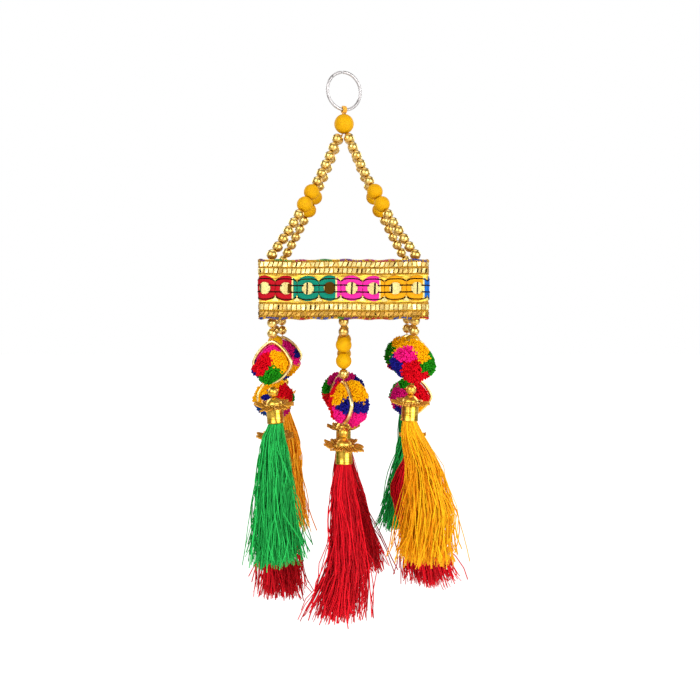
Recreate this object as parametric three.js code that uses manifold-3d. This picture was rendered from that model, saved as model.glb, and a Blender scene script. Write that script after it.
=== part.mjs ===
// A jhoomar: a small hanging of bead strands, pompoms and silk tassels on a square frame bound in lace.
// Millimetres, +Z up, the front facing -Y. The origin is the inside top of the wire ring, where it hangs.
import * as THREE from "three";
import { mergeVertices } from "three/addons/utils/BufferGeometryUtils.js";
import Module from "manifold-3d";

const wasm = await Module();
wasm.setup();

const DEGREE = Math.PI / 180;

// Pieces that touch keep this clearance.
const GAP = 0.3;

// The wire ring is cut open at its top and turned about the vertical.
const RING_WIRE = 0.7;
const RING_RADIUS = 8.35;
const RING_OPENING = 0.7;
const RING_OPENING_ANGLE = 97 * DEGREE;
const RING_TURN = 28 * DEGREE;

// The thread loop that ties the crown bead to the ring.
const TIE_INNER = 1.0;
const TIE_OUTER = 1.75;
const TIE_WIDTH = 2.4;

const CROWN_BEAD = 4.45;
const BEAD_HOLE = 1.1;
const THREAD = 0.4;
const GOLD_BEAD = 2.22;
const BEAD_WELL = 3;
const YELLOW_BEAD = 3.4;

// Four strands run from under the crown bead to the frame's corners, and sag a little on the way.
const STRAND_GOLD_BEAD = 2.35;
const STRAND_YELLOW_BEAD = 3.5;
const STRAND_RUN = 6;
const STRAND_START = { reach: 0.65, z: -27.05 };
const STRANDS = [
  { name: "front_left", side: [-1, -1], top: 3.1, topZ: -29.5, foot: 30.5, sag: 4.2 },
  { name: "front_right", side: [1, -1], top: 2.2, topZ: -29.1, foot: 30.5, sag: 4.2 },
  { name: "back_left", side: [-1, 1], top: 2.6, topZ: -29.1, foot: 29.6, sag: 3.2 },
  { name: "back_right", side: [1, 1], top: 2.6, topZ: -29.1, foot: 29.6, sag: 3.2 },
];

// The stiff frame and the lace that binds it. The threads pass through the middle of the frame's walls.
const LACE_SIDE = 72.5;
const LACE_THICKNESS = 1.2;
const LACE_TOP = -85;
const LACE_HEIGHT = 25;
const LACE_CORNER = 2.6;
const LAP_WIDTH = 9;
const LAP_THICKNESS = 0.8;
const LAP_CENTRE = -14;
const FRAME_SIDE = LACE_SIDE - 2 * (LACE_THICKNESS + GAP);
const FRAME_WALL = 9;
const FRAME_TOP = LACE_TOP - 0.3;
const FRAME_BOTTOM = LACE_TOP - LACE_HEIGHT + 2.1;
const CORNER_REACH = 30.5;
const SIDE_REACH = 31.3;

// The moulded loop that holds each pompom, as a diamond with bowed sides, from its side corners.
const LOOP_HALF_WIDTH = 9.4;
const LOOP_RISE = 10.2;
const LOOP_FALL = 9.4;
const LOOP_BOW = 0.7;
const LOOP_THICKNESS = 1.5;
const LOOP_DEPTH = 1.8;

// The cap under each loop: a tie of thread, a bead, a bell and six petals of two lobes.
const CAP_TIE = 0.5;
const BELL_TOP = GAP + CAP_TIE + 2 * GOLD_BEAD;
const BELL_HEIGHT = 3.2;
const BELL_RADIUS = 3.4;
const PETALS = 6;
const PETAL_VALLEY = 4.9;
const PETAL_FLAT = 4.1;
const PETAL_LOBE = 17 * DEGREE;
const PETAL_THICKNESS = 0.7;

const FERRULE_RADIUS = 3.75;
const FERRULE_WALL = 0.45;
const FERRULE_HEIGHT = 6.9;

// A tassel's locks are rooted in its head, which sits inside the ferrule.
const LOCKS = 20;
const LOCK_SIDES = 3;
const HEAD_HEIGHT = 4.0;
const HEAD_RADIUS = FERRULE_RADIUS - FERRULE_WALL - GAP;
const LOCK_ROOT_RADIUS = 2.85;
const BELLY = 0.27;

const GOLD = { color: "#d8a83c", roughness: 0.25, metalness: 0.9 };
const SILVER = { color: "#c9cacc", roughness: 0.2, metalness: 1.0 };
const YELLOW = { color: "#f4b30e", roughness: 0.55, metalness: 0 };
const LACE = { color: "#d9a428", roughness: 0.5, metalness: 0.4 };
const CARD = { color: "#c98f2a", roughness: 0.9, metalness: 0 };
const POMPOM = { color: "#d3243a", roughness: 1, metalness: 0 };
const GREEN = { color: "#1fa83c", roughness: 0.6, metalness: 0 };
const ORANGE = { color: "#e2860f", roughness: 0.6, metalness: 0 };
const AMBER = { color: "#f5a60d", roughness: 0.6, metalness: 0 };
const RED = { color: "#cf1020", roughness: 0.6, metalness: 0 };

// One row for each drop. swing tips the whole drop and tilt its cap and tassel, in degrees towards +X.
// turn is the loop's angle about the vertical. pompom is its half width, half depth and half height; a
// lower square makes it more of a diamond, and shift moves it in its loop [across, through, up]. petals are
// their reach and how far their tips rise. length is the tassel's below its ferrule. belly, a quarter of
// the way down it, is its offset in X and its radius, and end is its offset in X and Y and its radius.
const DROPS = [
  { name: "front_left", at: [-1, -1], slack: 1.3, swing: 0, turn: -15, tilt: 5,
    pompom: [10, 9, 9.5], square: 1.55, shift: [-0.3, 0, -0.9], petals: [8.8, -1.2],
    length: 63, belly: [-0.6, 7.4], end: [0, 0.4, 11.6], yarn: GREEN },
  { name: "front_right", at: [1, -1], slack: 0.3, swing: -3, turn: 8, tilt: 0,
    pompom: [10.8, 9.6, 9.9], square: 1.7, shift: [0.2, -1, 0], petals: [8.6, 0.6],
    length: 61, belly: [3.9, 9.4], end: [5.6, -0.6, 11.4], yarn: AMBER },
  { name: "back_left", at: [-1, 1], slack: 1.6, swing: 2.6, turn: 4, tilt: -5,
    pompom: [9.6, 9, 10.2], square: 1.8, shift: [-0.9, 0, -2.2], petals: [5.8, 1.8],
    length: 59, belly: [1.2, 7.6], end: [2, 0.6, 9.6], yarn: ORANGE },
  { name: "back_right", at: [1, 1], slack: 0.8, swing: -1, turn: 20, tilt: 1,
    pompom: [9.8, 9.4, 9.6], square: 1.9, shift: [0, 0, -0.6], petals: [7.2, 1],
    length: 59.5, belly: [2, 6], end: [-2.6, 0.5, 9.6], yarn: GREEN },
  { name: "front_mid", at: [0, -1], slack: 0.6, swing: 0, turn: -66, tilt: 0.5,
    pompom: [9.6, 8, 10], square: 1.8, shift: [0, 2.6, -0.3], petals: [8.9, 0.4],
    length: 67.4, belly: [0.4, 6.8], end: [-2.7, 0, 12.4], yarn: RED },
  { name: "back_mid", at: [0, 1], slack: 0.6, swing: -0.6, turn: 45, tilt: 0.6,
    pompom: [9.8, 9.4, 9.6], square: 1.9, shift: [-0.4, -0.4, -0.6], petals: [8.4, 1.8],
    length: 63, belly: [1, 6.8], end: [10, 0.5, 10.6], yarn: RED },
  { name: "left_mid", at: [-1, 0], slack: 0.6, swing: -0.6, turn: 30, tilt: 1,
    pompom: [9.6, 9.2, 9.6], square: 1.75, shift: [-0.6, 0, -0.9], petals: [8.8, 1],
    length: 64.5, belly: [0, 7.2], end: [2.6, 0, 10.4], yarn: RED },
  { name: "right_mid", at: [1, 0], slack: 0.3, swing: 0, turn: 0, tilt: 0,
    pompom: [9.9, 9.2, 9.6], square: 1.9, shift: [-1.3, 0, -0.3], petals: [6.4, 1.4],
    length: 60.5, belly: [-2.4, 8.8], end: [9, 0, 11], yarn: RED },
];

// Scatter between 0 and 1 that is the same each time.
function scatter(seed, index) {
  const wave = Math.sin(seed * 12.9898 + index * 78.233) * 43758.5453;
  return wave - Math.floor(wave);
}

// A closed solid through rings of points that all go round the same way.
function skin(rings) {
  const sides = rings[0].length;
  const faces = [];
  for (let k = 0; k + 1 < rings.length; k++)
    for (let i = 0; i < sides; i++) {
      const a = k * sides + i;
      const b = k * sides + ((i + 1) % sides);
      faces.push(a, b, b + sides, a, b + sides, a + sides);
    }
  const last = (rings.length - 1) * sides;
  for (let i = 1; i + 1 < sides; i++)
    faces.push(0, i + 1, i, last, last + i, last + i + 1);
  const geometry = new THREE.BufferGeometry().setFromPoints(rings.flat());
  geometry.setIndex(faces);
  geometry.computeVertexNormals();
  return geometry;
}

// Points round a centre, in the plane square to along, starting at the direction across.
function ringAround(centre, along, across, radius, sides) {
  const side = new THREE.Vector3().crossVectors(along, across);
  return Array.from({ length: sides }, (_, i) => {
    const angle = (2 * Math.PI * i) / sides;
    return centre
      .clone()
      .addScaledVector(across, radius * Math.cos(angle))
      .addScaledVector(side, radius * Math.sin(angle));
  });
}

function lathe(profile, sides) {
  const points = profile.map(([radius, z]) => new THREE.Vector2(radius, z));
  return new THREE.LatheGeometry(points, sides).rotateX(Math.PI / 2);
}

function solidOf(geometry) {
  const bare = geometry.index ? geometry.toNonIndexed() : geometry.clone();
  bare.deleteAttribute("normal");
  bare.deleteAttribute("uv");
  const merged = mergeVertices(bare, 1e-4);
  const vertProperties = merged.attributes.position.array;
  const triVerts = new Uint32Array(merged.index.array);
  return new wasm.Manifold(new wasm.Mesh({ numProp: 3, vertProperties, triVerts }));
}

function geometryOf(solid) {
  const mesh = solid.getMesh();
  const geometry = new THREE.BufferGeometry();
  geometry.setAttribute("position", new THREE.BufferAttribute(new Float32Array(mesh.vertProperties), 3));
  geometry.setIndex(Array.from(mesh.triVerts));
  geometry.computeVertexNormals();
  return geometry;
}

function piece(name, geometry, finish) {
  const mesh = new THREE.Mesh(geometry, new THREE.MeshStandardMaterial(finish));
  mesh.name = name;
  return mesh;
}

// The open wire ring, in its own turned plane.
function wireRing() {
  const steps = 22;
  const wireSides = 6;
  const halfOpening = RING_OPENING / 2 / RING_RADIUS;
  const sweep = 2 * (Math.PI - halfOpening);
  const centreZ = RING_WIRE - RING_RADIUS;
  const rings = [];
  for (let k = 0; k <= steps; k++) {
    const angle = RING_OPENING_ANGLE + halfOpening + (sweep * k) / steps;
    const outward = new THREE.Vector3(Math.cos(angle), 0, Math.sin(angle));
    const along = new THREE.Vector3(-Math.sin(angle), 0, Math.cos(angle));
    const centre = outward.clone().multiplyScalar(RING_RADIUS);
    rings.push(ringAround(centre, along, outward, RING_WIRE, wireSides));
  }
  const mesh = piece("hanging_ring", skin(rings), SILVER);
  mesh.rotation.z = RING_TURN;
  mesh.position.z = centreZ;
  return mesh;
}

// The thread loop round the ring's wire, square to the wire.
function tieLoop() {
  const half = TIE_WIDTH / 2;
  const profile = [
    [TIE_INNER, -half],
    [TIE_OUTER, -half],
    [TIE_OUTER, half],
    [TIE_INNER, half],
    [TIE_INNER, -half],
  ];
  const geometry = lathe(profile, 10).rotateX(-Math.PI / 2).rotateZ(RING_TURN - Math.PI / 2);
  const mesh = piece("tie_loop", geometry, YELLOW);
  mesh.position.z = RING_WIRE - 2 * RING_RADIUS;
  return mesh;
}

// A bead with a flat at each end of its hole, as a profile from its lower flat to its upper one.
function beadProfile(radius, hole, steps) {
  const flat = Math.asin(Math.sqrt(radius * radius - hole * hole) / radius);
  const profile = [[0, -radius * Math.sin(flat)]];
  for (let k = 0; k <= steps; k++) {
    const latitude = -flat + (2 * flat * k) / steps;
    profile.push([radius * Math.cos(latitude), radius * Math.sin(latitude)]);
  }
  profile.push([0, radius * Math.sin(flat)]);
  return profile;
}

function crownBead() {
  const flat = Math.sqrt(CROWN_BEAD * CROWN_BEAD - BEAD_HOLE * BEAD_HOLE);
  const mesh = piece("crown_bead", lathe(beadProfile(CROWN_BEAD, BEAD_HOLE, 6), 10), YELLOW);
  mesh.position.z = RING_WIRE - 2 * RING_RADIUS - TIE_OUTER - GAP - flat;
  return mesh;
}

// Beads on one thread, from where the thread starts: each has its centre, radius and the thread's way.
function threadedBeads(start, beads, across) {
  const around = ({ centre, along }, offset, radius) =>
    ringAround(centre.clone().addScaledVector(along, offset), along, across, radius, 6);
  const rings = [around(start, 0, THREAD)];
  for (const bead of beads) {
    const { radius } = bead;
    rings.push(around(bead, -radius, THREAD));
    for (const latitude of [-Math.PI / 4, 0, Math.PI / 4])
      rings.push(around(bead, radius * Math.sin(latitude), radius * Math.cos(latitude)));
    if (bead === beads[beads.length - 1]) rings.push(around(bead, radius, THREAD));
  }
  return skin(rings);
}

// A strand from the crown bead to one corner: a gold run, two yellow beads and a second gold run.
function cornerStrand({ name, side: [sx, sy], top: topReach, topZ, foot: footReach, sag }) {
  const top = new THREE.Vector3(sx * topReach, sy * topReach, topZ);
  const foot = new THREE.Vector3(sx * footReach, sy * footReach, FRAME_TOP + GAP + STRAND_GOLD_BEAD);
  const chord = foot.clone().sub(top).normalize();
  const across = new THREE.Vector3(-sy, sx, 0).normalize();
  const inward = new THREE.Vector3().crossVectors(chord, across);
  if (inward.z > 0) inward.negate();
  const middle = top.clone().add(foot).multiplyScalar(0.5).addScaledVector(inward, sag);
  const line = new THREE.QuadraticBezierCurve3(top, middle, foot);
  const gold = Array(STRAND_RUN).fill(STRAND_GOLD_BEAD);
  const radii = [...gold, STRAND_YELLOW_BEAD, STRAND_YELLOW_BEAD, ...gold];
  const places = [0];
  for (let i = 1; i < radii.length; i++) places.push(places[i - 1] + radii[i - 1] + radii[i]);
  const whole = places[places.length - 1];
  const beads = radii.map((radius, i) => {
    const share = places[i] / whole;
    return { centre: line.getPointAt(share), radius, along: line.getTangentAt(share) };
  });
  const start = new THREE.Vector3(sx * STRAND_START.reach, sy * STRAND_START.reach, STRAND_START.z);
  const lead = { centre: start, along: top.clone().sub(start).normalize() };
  return piece(`strand_${name}`, threadedBeads(lead, beads, across), GOLD);
}

// The beads at the top of a drop, and the thread that holds them to the frame.
function dropBeads({ name, slack }, radii) {
  const down = new THREE.Vector3(0, 0, -1);
  let z = -GAP;
  const beads = radii.map((radius) => {
    const centre = new THREE.Vector3(0, 0, z - radius);
    z -= 2 * radius;
    return { centre, radius, along: down };
  });
  const start = { centre: new THREE.Vector3(0, 0, slack - GAP), along: down };
  const geometry = threadedBeads(start, beads, new THREE.Vector3(1, 0, 0));
  return { mesh: piece(`beads_${name}`, geometry, GOLD), foot: z };
}

function squareOutline(shape, half, corner) {
  const flat = half - corner;
  shape.moveTo(flat, -half);
  shape.absarc(flat, -flat, corner, -Math.PI / 2, 0, false);
  shape.absarc(flat, flat, corner, 0, Math.PI / 2, false);
  shape.absarc(-flat, flat, corner, Math.PI / 2, Math.PI, false);
  shape.absarc(-flat, -flat, corner, Math.PI, 1.5 * Math.PI, false);
  return shape;
}

function squareRing(half, wall, outerCorner, innerCorner, height) {
  const shape = squareOutline(new THREE.Shape(), half, outerCorner);
  shape.holes.push(squareOutline(new THREE.Path(), half - wall, innerCorner));
  return new THREE.ExtrudeGeometry(shape, { depth: height, bevelEnabled: false, curveSegments: 3 });
}

function cardFrame() {
  const height = FRAME_TOP - FRAME_BOTTOM;
  const corner = LACE_CORNER - LACE_THICKNESS - GAP;
  const mesh = piece("frame", squareRing(FRAME_SIDE / 2, FRAME_WALL, corner, 0.5, height), CARD);
  mesh.position.z = FRAME_BOTTOM;
  return mesh;
}

// The lace goes once round the frame, and its end laps over its start on the back.
function laceBand() {
  const half = LACE_SIDE / 2;
  const corner = LACE_CORNER;
  const band = solidOf(squareRing(half, LACE_THICKNESS, corner, corner - LACE_THICKNESS, LACE_HEIGHT));
  const lap = new THREE.BoxGeometry(LAP_WIDTH, LAP_THICKNESS + 0.4, LACE_HEIGHT - 0.6);
  lap.translate(LAP_CENTRE, half + LAP_THICKNESS / 2 - 0.2, LACE_HEIGHT / 2);
  const mesh = piece("lace_band", geometryOf(band.add(solidOf(lap))), LACE);
  mesh.position.z = LACE_TOP - LACE_HEIGHT;
  return mesh;
}

// A diamond with bowed sides, drawn in by an inset. Its side corners lie on y = 0.
function diamond(shape, inset) {
  const across = LOOP_HALF_WIDTH - inset;
  const top = LOOP_RISE - inset;
  const foot = inset - LOOP_FALL;
  shape.moveTo(0, top);
  shape.quadraticCurveTo(-LOOP_BOW * across, LOOP_BOW * top, -across, 0);
  shape.quadraticCurveTo(-LOOP_BOW * across, LOOP_BOW * foot, 0, foot);
  shape.quadraticCurveTo(LOOP_BOW * across, LOOP_BOW * foot, across, 0);
  shape.quadraticCurveTo(LOOP_BOW * across, LOOP_BOW * top, 0, top);
  return shape;
}

// A flat outline stood upright, facing -Y and centred on it.
function upright(shape, depth, curveSegments) {
  const geometry = new THREE.ExtrudeGeometry(shape, { depth, bevelEnabled: false, curveSegments });
  return geometry.rotateX(Math.PI / 2).translate(0, depth / 2, 0);
}

function goldLoop({ name }) {
  const shape = diamond(new THREE.Shape(), 0);
  shape.holes.push(diamond(new THREE.Path(), LOOP_THICKNESS));
  return piece(`loop_${name}`, upright(shape, LOOP_DEPTH, 2), GOLD);
}

// A lumpy ball of cut yarn, drawn in where the loop holds it and dented by the beads above and below.
function pompom({ name, pompom: [halfWidth, halfDepth, halfHeight], square, shift }, seed) {
  const ball = new THREE.IcosahedronGeometry(1, 2);
  const place = ball.attributes.position;
  const point = new THREE.Vector3();
  for (let i = 0; i < place.count; i++) {
    point.fromBufferAttribute(place, i).normalize();
    const sum =
      Math.abs(point.x / halfWidth) ** square +
      Math.abs(point.y / halfDepth) ** square +
      Math.abs(point.z / halfHeight) ** square;
    const lumps = Math.sin(5 * point.x + seed) * Math.sin(6 * point.y + 2 * seed) * Math.sin(5 * point.z);
    point.multiplyScalar((1 + 0.06 * lumps) / sum ** (1 / square));
    place.setXYZ(i, point.x + shift[0], point.y + shift[1], point.z + shift[2]);
  }
  const reach = 18;
  const around = new THREE.Shape().absarc(0, 0, reach, 0, 2 * Math.PI, false);
  around.holes.push(diamond(new THREE.Path(), LOOP_THICKNESS + 1.5 * GAP));
  const slot = upright(around, LOOP_DEPTH + 2 * GAP, 2);
  let solid = solidOf(ball).subtract(solidOf(slot));
  for (const z of [LOOP_RISE + reach / 2, -LOOP_FALL - reach / 2]) {
    const well = new THREE.CylinderGeometry(BEAD_WELL, BEAD_WELL, reach, 8).rotateX(Math.PI / 2);
    solid = solid.subtract(solidOf(well.translate(0, 0, z)));
  }
  return piece(`pompom_${name}`, geometryOf(solid), POMPOM);
}

// The bead, bell and petals that sit on a tassel, hung from z = 0.
function flowerCap({ name, petals: [tip, rise] }) {
  const bead = GOLD_BEAD;
  const centre = bead - BELL_TOP;
  const foot = -BELL_TOP - BELL_HEIGHT;
  const stem = [
    [0, foot],
    [BELL_RADIUS, foot],
    [0.8 * BELL_RADIUS, foot + 0.6 * BELL_HEIGHT],
    [0.3 * BELL_RADIUS, -BELL_TOP],
    [0.71 * bead, centre - 0.71 * bead],
    [bead, centre],
    [0.71 * bead, centre + 0.71 * bead],
    [THREAD, centre + bead],
    [THREAD, -GAP],
    [0, -GAP],
  ];
  const rim = (reach, valley, lift, z) =>
    Array.from({ length: PETALS * 3 }, (_, i) => {
      const part = i % 3;
      const middle = (2 * Math.PI * Math.floor(i / 3)) / PETALS;
      const angle = middle + [-Math.PI / PETALS, -PETAL_LOBE, PETAL_LOBE][part];
      const radius = part ? reach : valley;
      return new THREE.Vector3(radius * Math.cos(angle), radius * Math.sin(angle), z + (part ? lift : 0));
    });
  const petals = skin([
    rim(PETAL_FLAT, PETAL_FLAT, 0, foot - PETAL_THICKNESS),
    rim(tip, PETAL_VALLEY, rise, foot - PETAL_THICKNESS),
    rim(tip, PETAL_VALLEY, rise - 0.1, foot - 0.1),
    rim(PETAL_FLAT, PETAL_FLAT, 0, foot + 0.1),
  ]);
  return piece(`cap_${name}`, geometryOf(solidOf(lathe(stem, 8)).add(solidOf(petals))), GOLD);
}

// A metal cup, mouth down, hung from z = 0.
function ferrule({ name }) {
  const inner = FERRULE_RADIUS - FERRULE_WALL;
  const profile = [
    [0, -0.8],
    [inner, -0.8],
    [inner, -FERRULE_HEIGHT],
    [FERRULE_RADIUS, -FERRULE_HEIGHT],
    [FERRULE_RADIUS, 0],
    [0, 0],
  ];
  return piece(`ferrule_${name}`, lathe(profile, 8), GOLD);
}

// A yarn head with locks that fan out below it. z = 0 is the ferrule's top, and the locks hang plumb
// although their head is tipped.
function tassel({ name, swing, tilt, length, belly, end, yarn }, seed) {
  const headTop = -0.8 - GAP;
  const headFoot = headTop - HEAD_HEIGHT;
  const head = lathe([[0, headFoot], [HEAD_RADIUS, headFoot], [HEAD_RADIUS, headTop], [0, headTop]], 8);
  const goldenAngle = Math.PI * (3 - Math.sqrt(5));
  const plumb = -Math.tan((swing + tilt) * DEGREE);
  const down = new THREE.Vector3(0, 0, -1);
  let solid = solidOf(head);
  for (let i = 0; i < LOCKS; i++) {
    const share = ((i + 0.5) / LOCKS) ** 0.4;
    const angle = i * goldenAngle + seed;
    const across = new THREE.Vector3(Math.cos(angle), Math.sin(angle), 0);
    const reach = length * (1 - 0.16 * scatter(seed, i) * (0.4 + share));
    const levels = [
      { z: headFoot + 0.6, radius: LOCK_ROOT_RADIUS, x: 0, y: 0 },
      { z: -FERRULE_HEIGHT - GAP, radius: LOCK_ROOT_RADIUS, x: 0, y: 0 },
      { z: -FERRULE_HEIGHT - BELLY * length, radius: belly[1], x: belly[0] + plumb * BELLY * length, y: 0 },
      { z: -FERRULE_HEIGHT - reach, radius: end[2], x: end[0] + plumb * length, y: end[1] },
    ];
    const rings = levels.map(({ z, radius, x, y }) => {
      const thickness = (0.66 * radius) / Math.sqrt(LOCKS);
      const centre = new THREE.Vector3(x, y, z).addScaledVector(across, share * (radius - thickness));
      return ringAround(centre, down, across, thickness, LOCK_SIDES);
    });
    solid = solid.add(solidOf(skin(rings)));
  }
  return piece(`tassel_${name}`, geometryOf(solid), yarn);
}

// A group at a height on its parent's line, tipped in degrees so that what hangs in it swings towards +X.
function tipped(towardsX, z) {
  const group = new THREE.Group();
  group.rotation.y = -towardsX * DEGREE;
  group.position.z = z;
  return group;
}

function drop(row, index) {
  const [sx, sy] = row.at;
  const corner = sx !== 0 && sy !== 0;
  const reach = corner ? CORNER_REACH : SIDE_REACH;
  const radii = corner
    ? [GOLD_BEAD, GOLD_BEAD]
    : [GOLD_BEAD, GOLD_BEAD, YELLOW_BEAD, YELLOW_BEAD, GOLD_BEAD];
  const whole = tipped(row.swing, FRAME_BOTTOM - row.slack);
  whole.position.x = sx * reach;
  whole.position.y = sy * reach;

  const { mesh: beads, foot } = dropBeads(row, radii);
  const held = new THREE.Group();
  held.position.z = foot - GAP - LOOP_RISE;
  held.rotation.z = row.turn * DEGREE;
  held.add(goldLoop(row), pompom(row, index + 1));

  const lower = tipped(row.tilt, held.position.z - LOOP_FALL);
  const cup = ferrule(row);
  const fringe = tassel(row, index + 1);
  cup.position.z = -BELL_TOP - BELL_HEIGHT - PETAL_THICKNESS - GAP;
  fringe.position.z = cup.position.z;
  lower.add(flowerCap(row), cup, fringe);

  whole.add(beads, held, lower);
  return whole;
}

const jhoomar = new THREE.Group();
jhoomar.add(wireRing(), tieLoop(), crownBead(), cardFrame(), laceBand());
STRANDS.forEach((row) => jhoomar.add(cornerStrand(row)));
DROPS.forEach((row, index) => jhoomar.add(drop(row, index)));

export default jhoomar;
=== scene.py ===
import math
import bpy
import numpy as np
from mathutils import Matrix, Vector


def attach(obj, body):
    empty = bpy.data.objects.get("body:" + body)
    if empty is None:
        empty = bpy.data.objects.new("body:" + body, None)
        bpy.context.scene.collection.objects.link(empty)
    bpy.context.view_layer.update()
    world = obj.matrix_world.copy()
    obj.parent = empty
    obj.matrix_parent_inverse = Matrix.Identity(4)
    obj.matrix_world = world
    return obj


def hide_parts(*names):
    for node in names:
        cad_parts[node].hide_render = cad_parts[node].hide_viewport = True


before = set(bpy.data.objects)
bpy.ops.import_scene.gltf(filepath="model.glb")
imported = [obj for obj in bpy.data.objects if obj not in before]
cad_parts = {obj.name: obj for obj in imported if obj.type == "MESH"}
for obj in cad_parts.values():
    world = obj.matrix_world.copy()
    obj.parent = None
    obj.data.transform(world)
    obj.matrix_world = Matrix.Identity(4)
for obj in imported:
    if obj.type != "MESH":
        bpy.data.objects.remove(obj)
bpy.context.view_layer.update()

MM = 0.001
GAP = 0.3

RING_WIRE = 0.7
RING_RADIUS = 8.35
RING_OPENING = 0.7
WIRE_NIP = 0.8
RING_OPENING_ANGLE = math.radians(97)
RING_TURN = 28
TIE_OUTER = 1.75
TIE_WIDTH = 2.4
TIE_THREAD = 0.36
TIE_START = 0.25
TIE_TURNS = 4
TIE_SPREAD = 0.7
TIE_DROP = 1.9

CROWN_BEAD = 4.45
BEAD_HOLE = 1.1
THREAD = 0.28
SKEW = (0.31, 0.95, 0.05)  # a direction that no string of beads follows
BEAD_UNEVEN = 0.02
YELLOW_HOLE = 0.2  # as a share of the bead's radius, like the next
GOLD_HOLE = 0.26
GOLD_BEAD = 2.22
YELLOW_BEAD = 3.4

# Four strands run from under the crown bead to the frame's corners, and sag a little on the way.
STRAND_GOLD_BEAD = 2.35
STRAND_YELLOW_BEAD = 3.5
STRAND_RUN = 6
STRAND_START = {"reach": 0.65, "z": -27.05}
STRANDS = [
    {"name": "front_left", "side": (-1, -1), "top": 3.1, "top_z": -29.5, "foot": 30.5, "sag": 4.2},
    {"name": "front_right", "side": (1, -1), "top": 2.2, "top_z": -29.1, "foot": 30.5, "sag": 4.2},
    {"name": "back_left", "side": (-1, 1), "top": 2.6, "top_z": -29.1, "foot": 29.6, "sag": 3.2},
    {"name": "back_right", "side": (1, 1), "top": 2.6, "top_z": -29.1, "foot": 29.6, "sag": 3.2},
]

LACE_SIDE = 72.5
LACE_TOP = -85.0
LACE_HEIGHT = 25.0
LACE_CORNER = 2.6
LACE_INSIDE = -1.2  # how far in from the trims' faces the cloth's own two faces are
LACE_FACE = -0.45
LAP_START = -9.5  # where the lace starts on the back, in X
LAP_LENGTH = 9.0
LAP_LIFT = 0.8
LAP_RAMP = 3.5
LACE_MARGIN = 0.3
WAVER = 0.12
FRAME_TOP = LACE_TOP - 0.3
FRAME_BOTTOM = LACE_TOP - LACE_HEIGHT + 2.1
CORNER_REACH = 30.5
SIDE_REACH = 31.3

LOOP_HALF_WIDTH = 9.4
LOOP_RISE = 10.2
LOOP_FALL = 9.4
LOOP_BOW = 0.7
LOOP_THICKNESS = 1.5
LOOP_DEPTH = 1.8
BEAD_CLEARANCE = 3.1

BELL_TOP = GAP + 0.5 + 2 * GOLD_BEAD
BELL_HEIGHT = 3.2
PETALS = 6
PETAL_VALLEY = 4.9
PETAL_FLAT = 4.1
PETAL_THICKNESS = 0.7
PETAL_SHEET = 0.32  # the petals' own sheet, inside the solid's thickness
PETAL_ROOT = 2.2
RIB_PITCH = 1.1
RIB_HEIGHT = 0.24
LOBE_NOTCH = 0.24  # how deep the notch between a petal's two lobes is, as a share of its reach
RIM_RADIUS = 3.95  # of the ring of small beads at the bell's foot
RIM_BEAD = 0.42
FERRULE_RADIUS = 3.75
FERRULE_HEIGHT = 6.9
SEAM_DEPTH = 0.93  # what is left of the ferrule's radius at its joint

TASSEL_THREADS = 680
TASSEL_STRAYS = 84
TASSEL_STEPS = 13
TASSEL_THREAD = 0.21
LOCKS = 20
LOCK_ROOT_RADIUS = 2.85
LOCKS_UNEVEN = 0.13  # how much shorter some locks and some threads are
THREADS_UNEVEN = 0.16
TASSEL_TOP = 1.5  # how far down inside the ferrule the threads start
BELLY = 0.27  # where a plain tassel is widest, as a share of its length
DRIFT = 0.45  # how far the threads wander round the tassel, in radians
WAVE_SHORTEST = 20
WAVE_SPREAD = 30
FLARE_MEAN = 1.4
FLARE_MOST = 6.5
FLARE_DEPTH = 0.65  # to the front and back, as a share of the flare to the sides
STRAY_LEAST = 2.5
STRAY_MORE = 10
STRAY_THICKER = 1.35
TUFTS = 2700
TUFT_ROOT = 2.8
TUFT_SHOULDER = 0.55
TUFT_THICKNESS = 0.42
TUFT_UNEVEN = 0.9
TUFT_SUNK = 0.85
PLIES = 260
CORE_DEPTH = 1.7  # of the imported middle, under the ends
GOLDEN_SHARE = 3 - math.sqrt(5)  # a step of so many half turns spreads points evenly over a disc or ball

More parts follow.
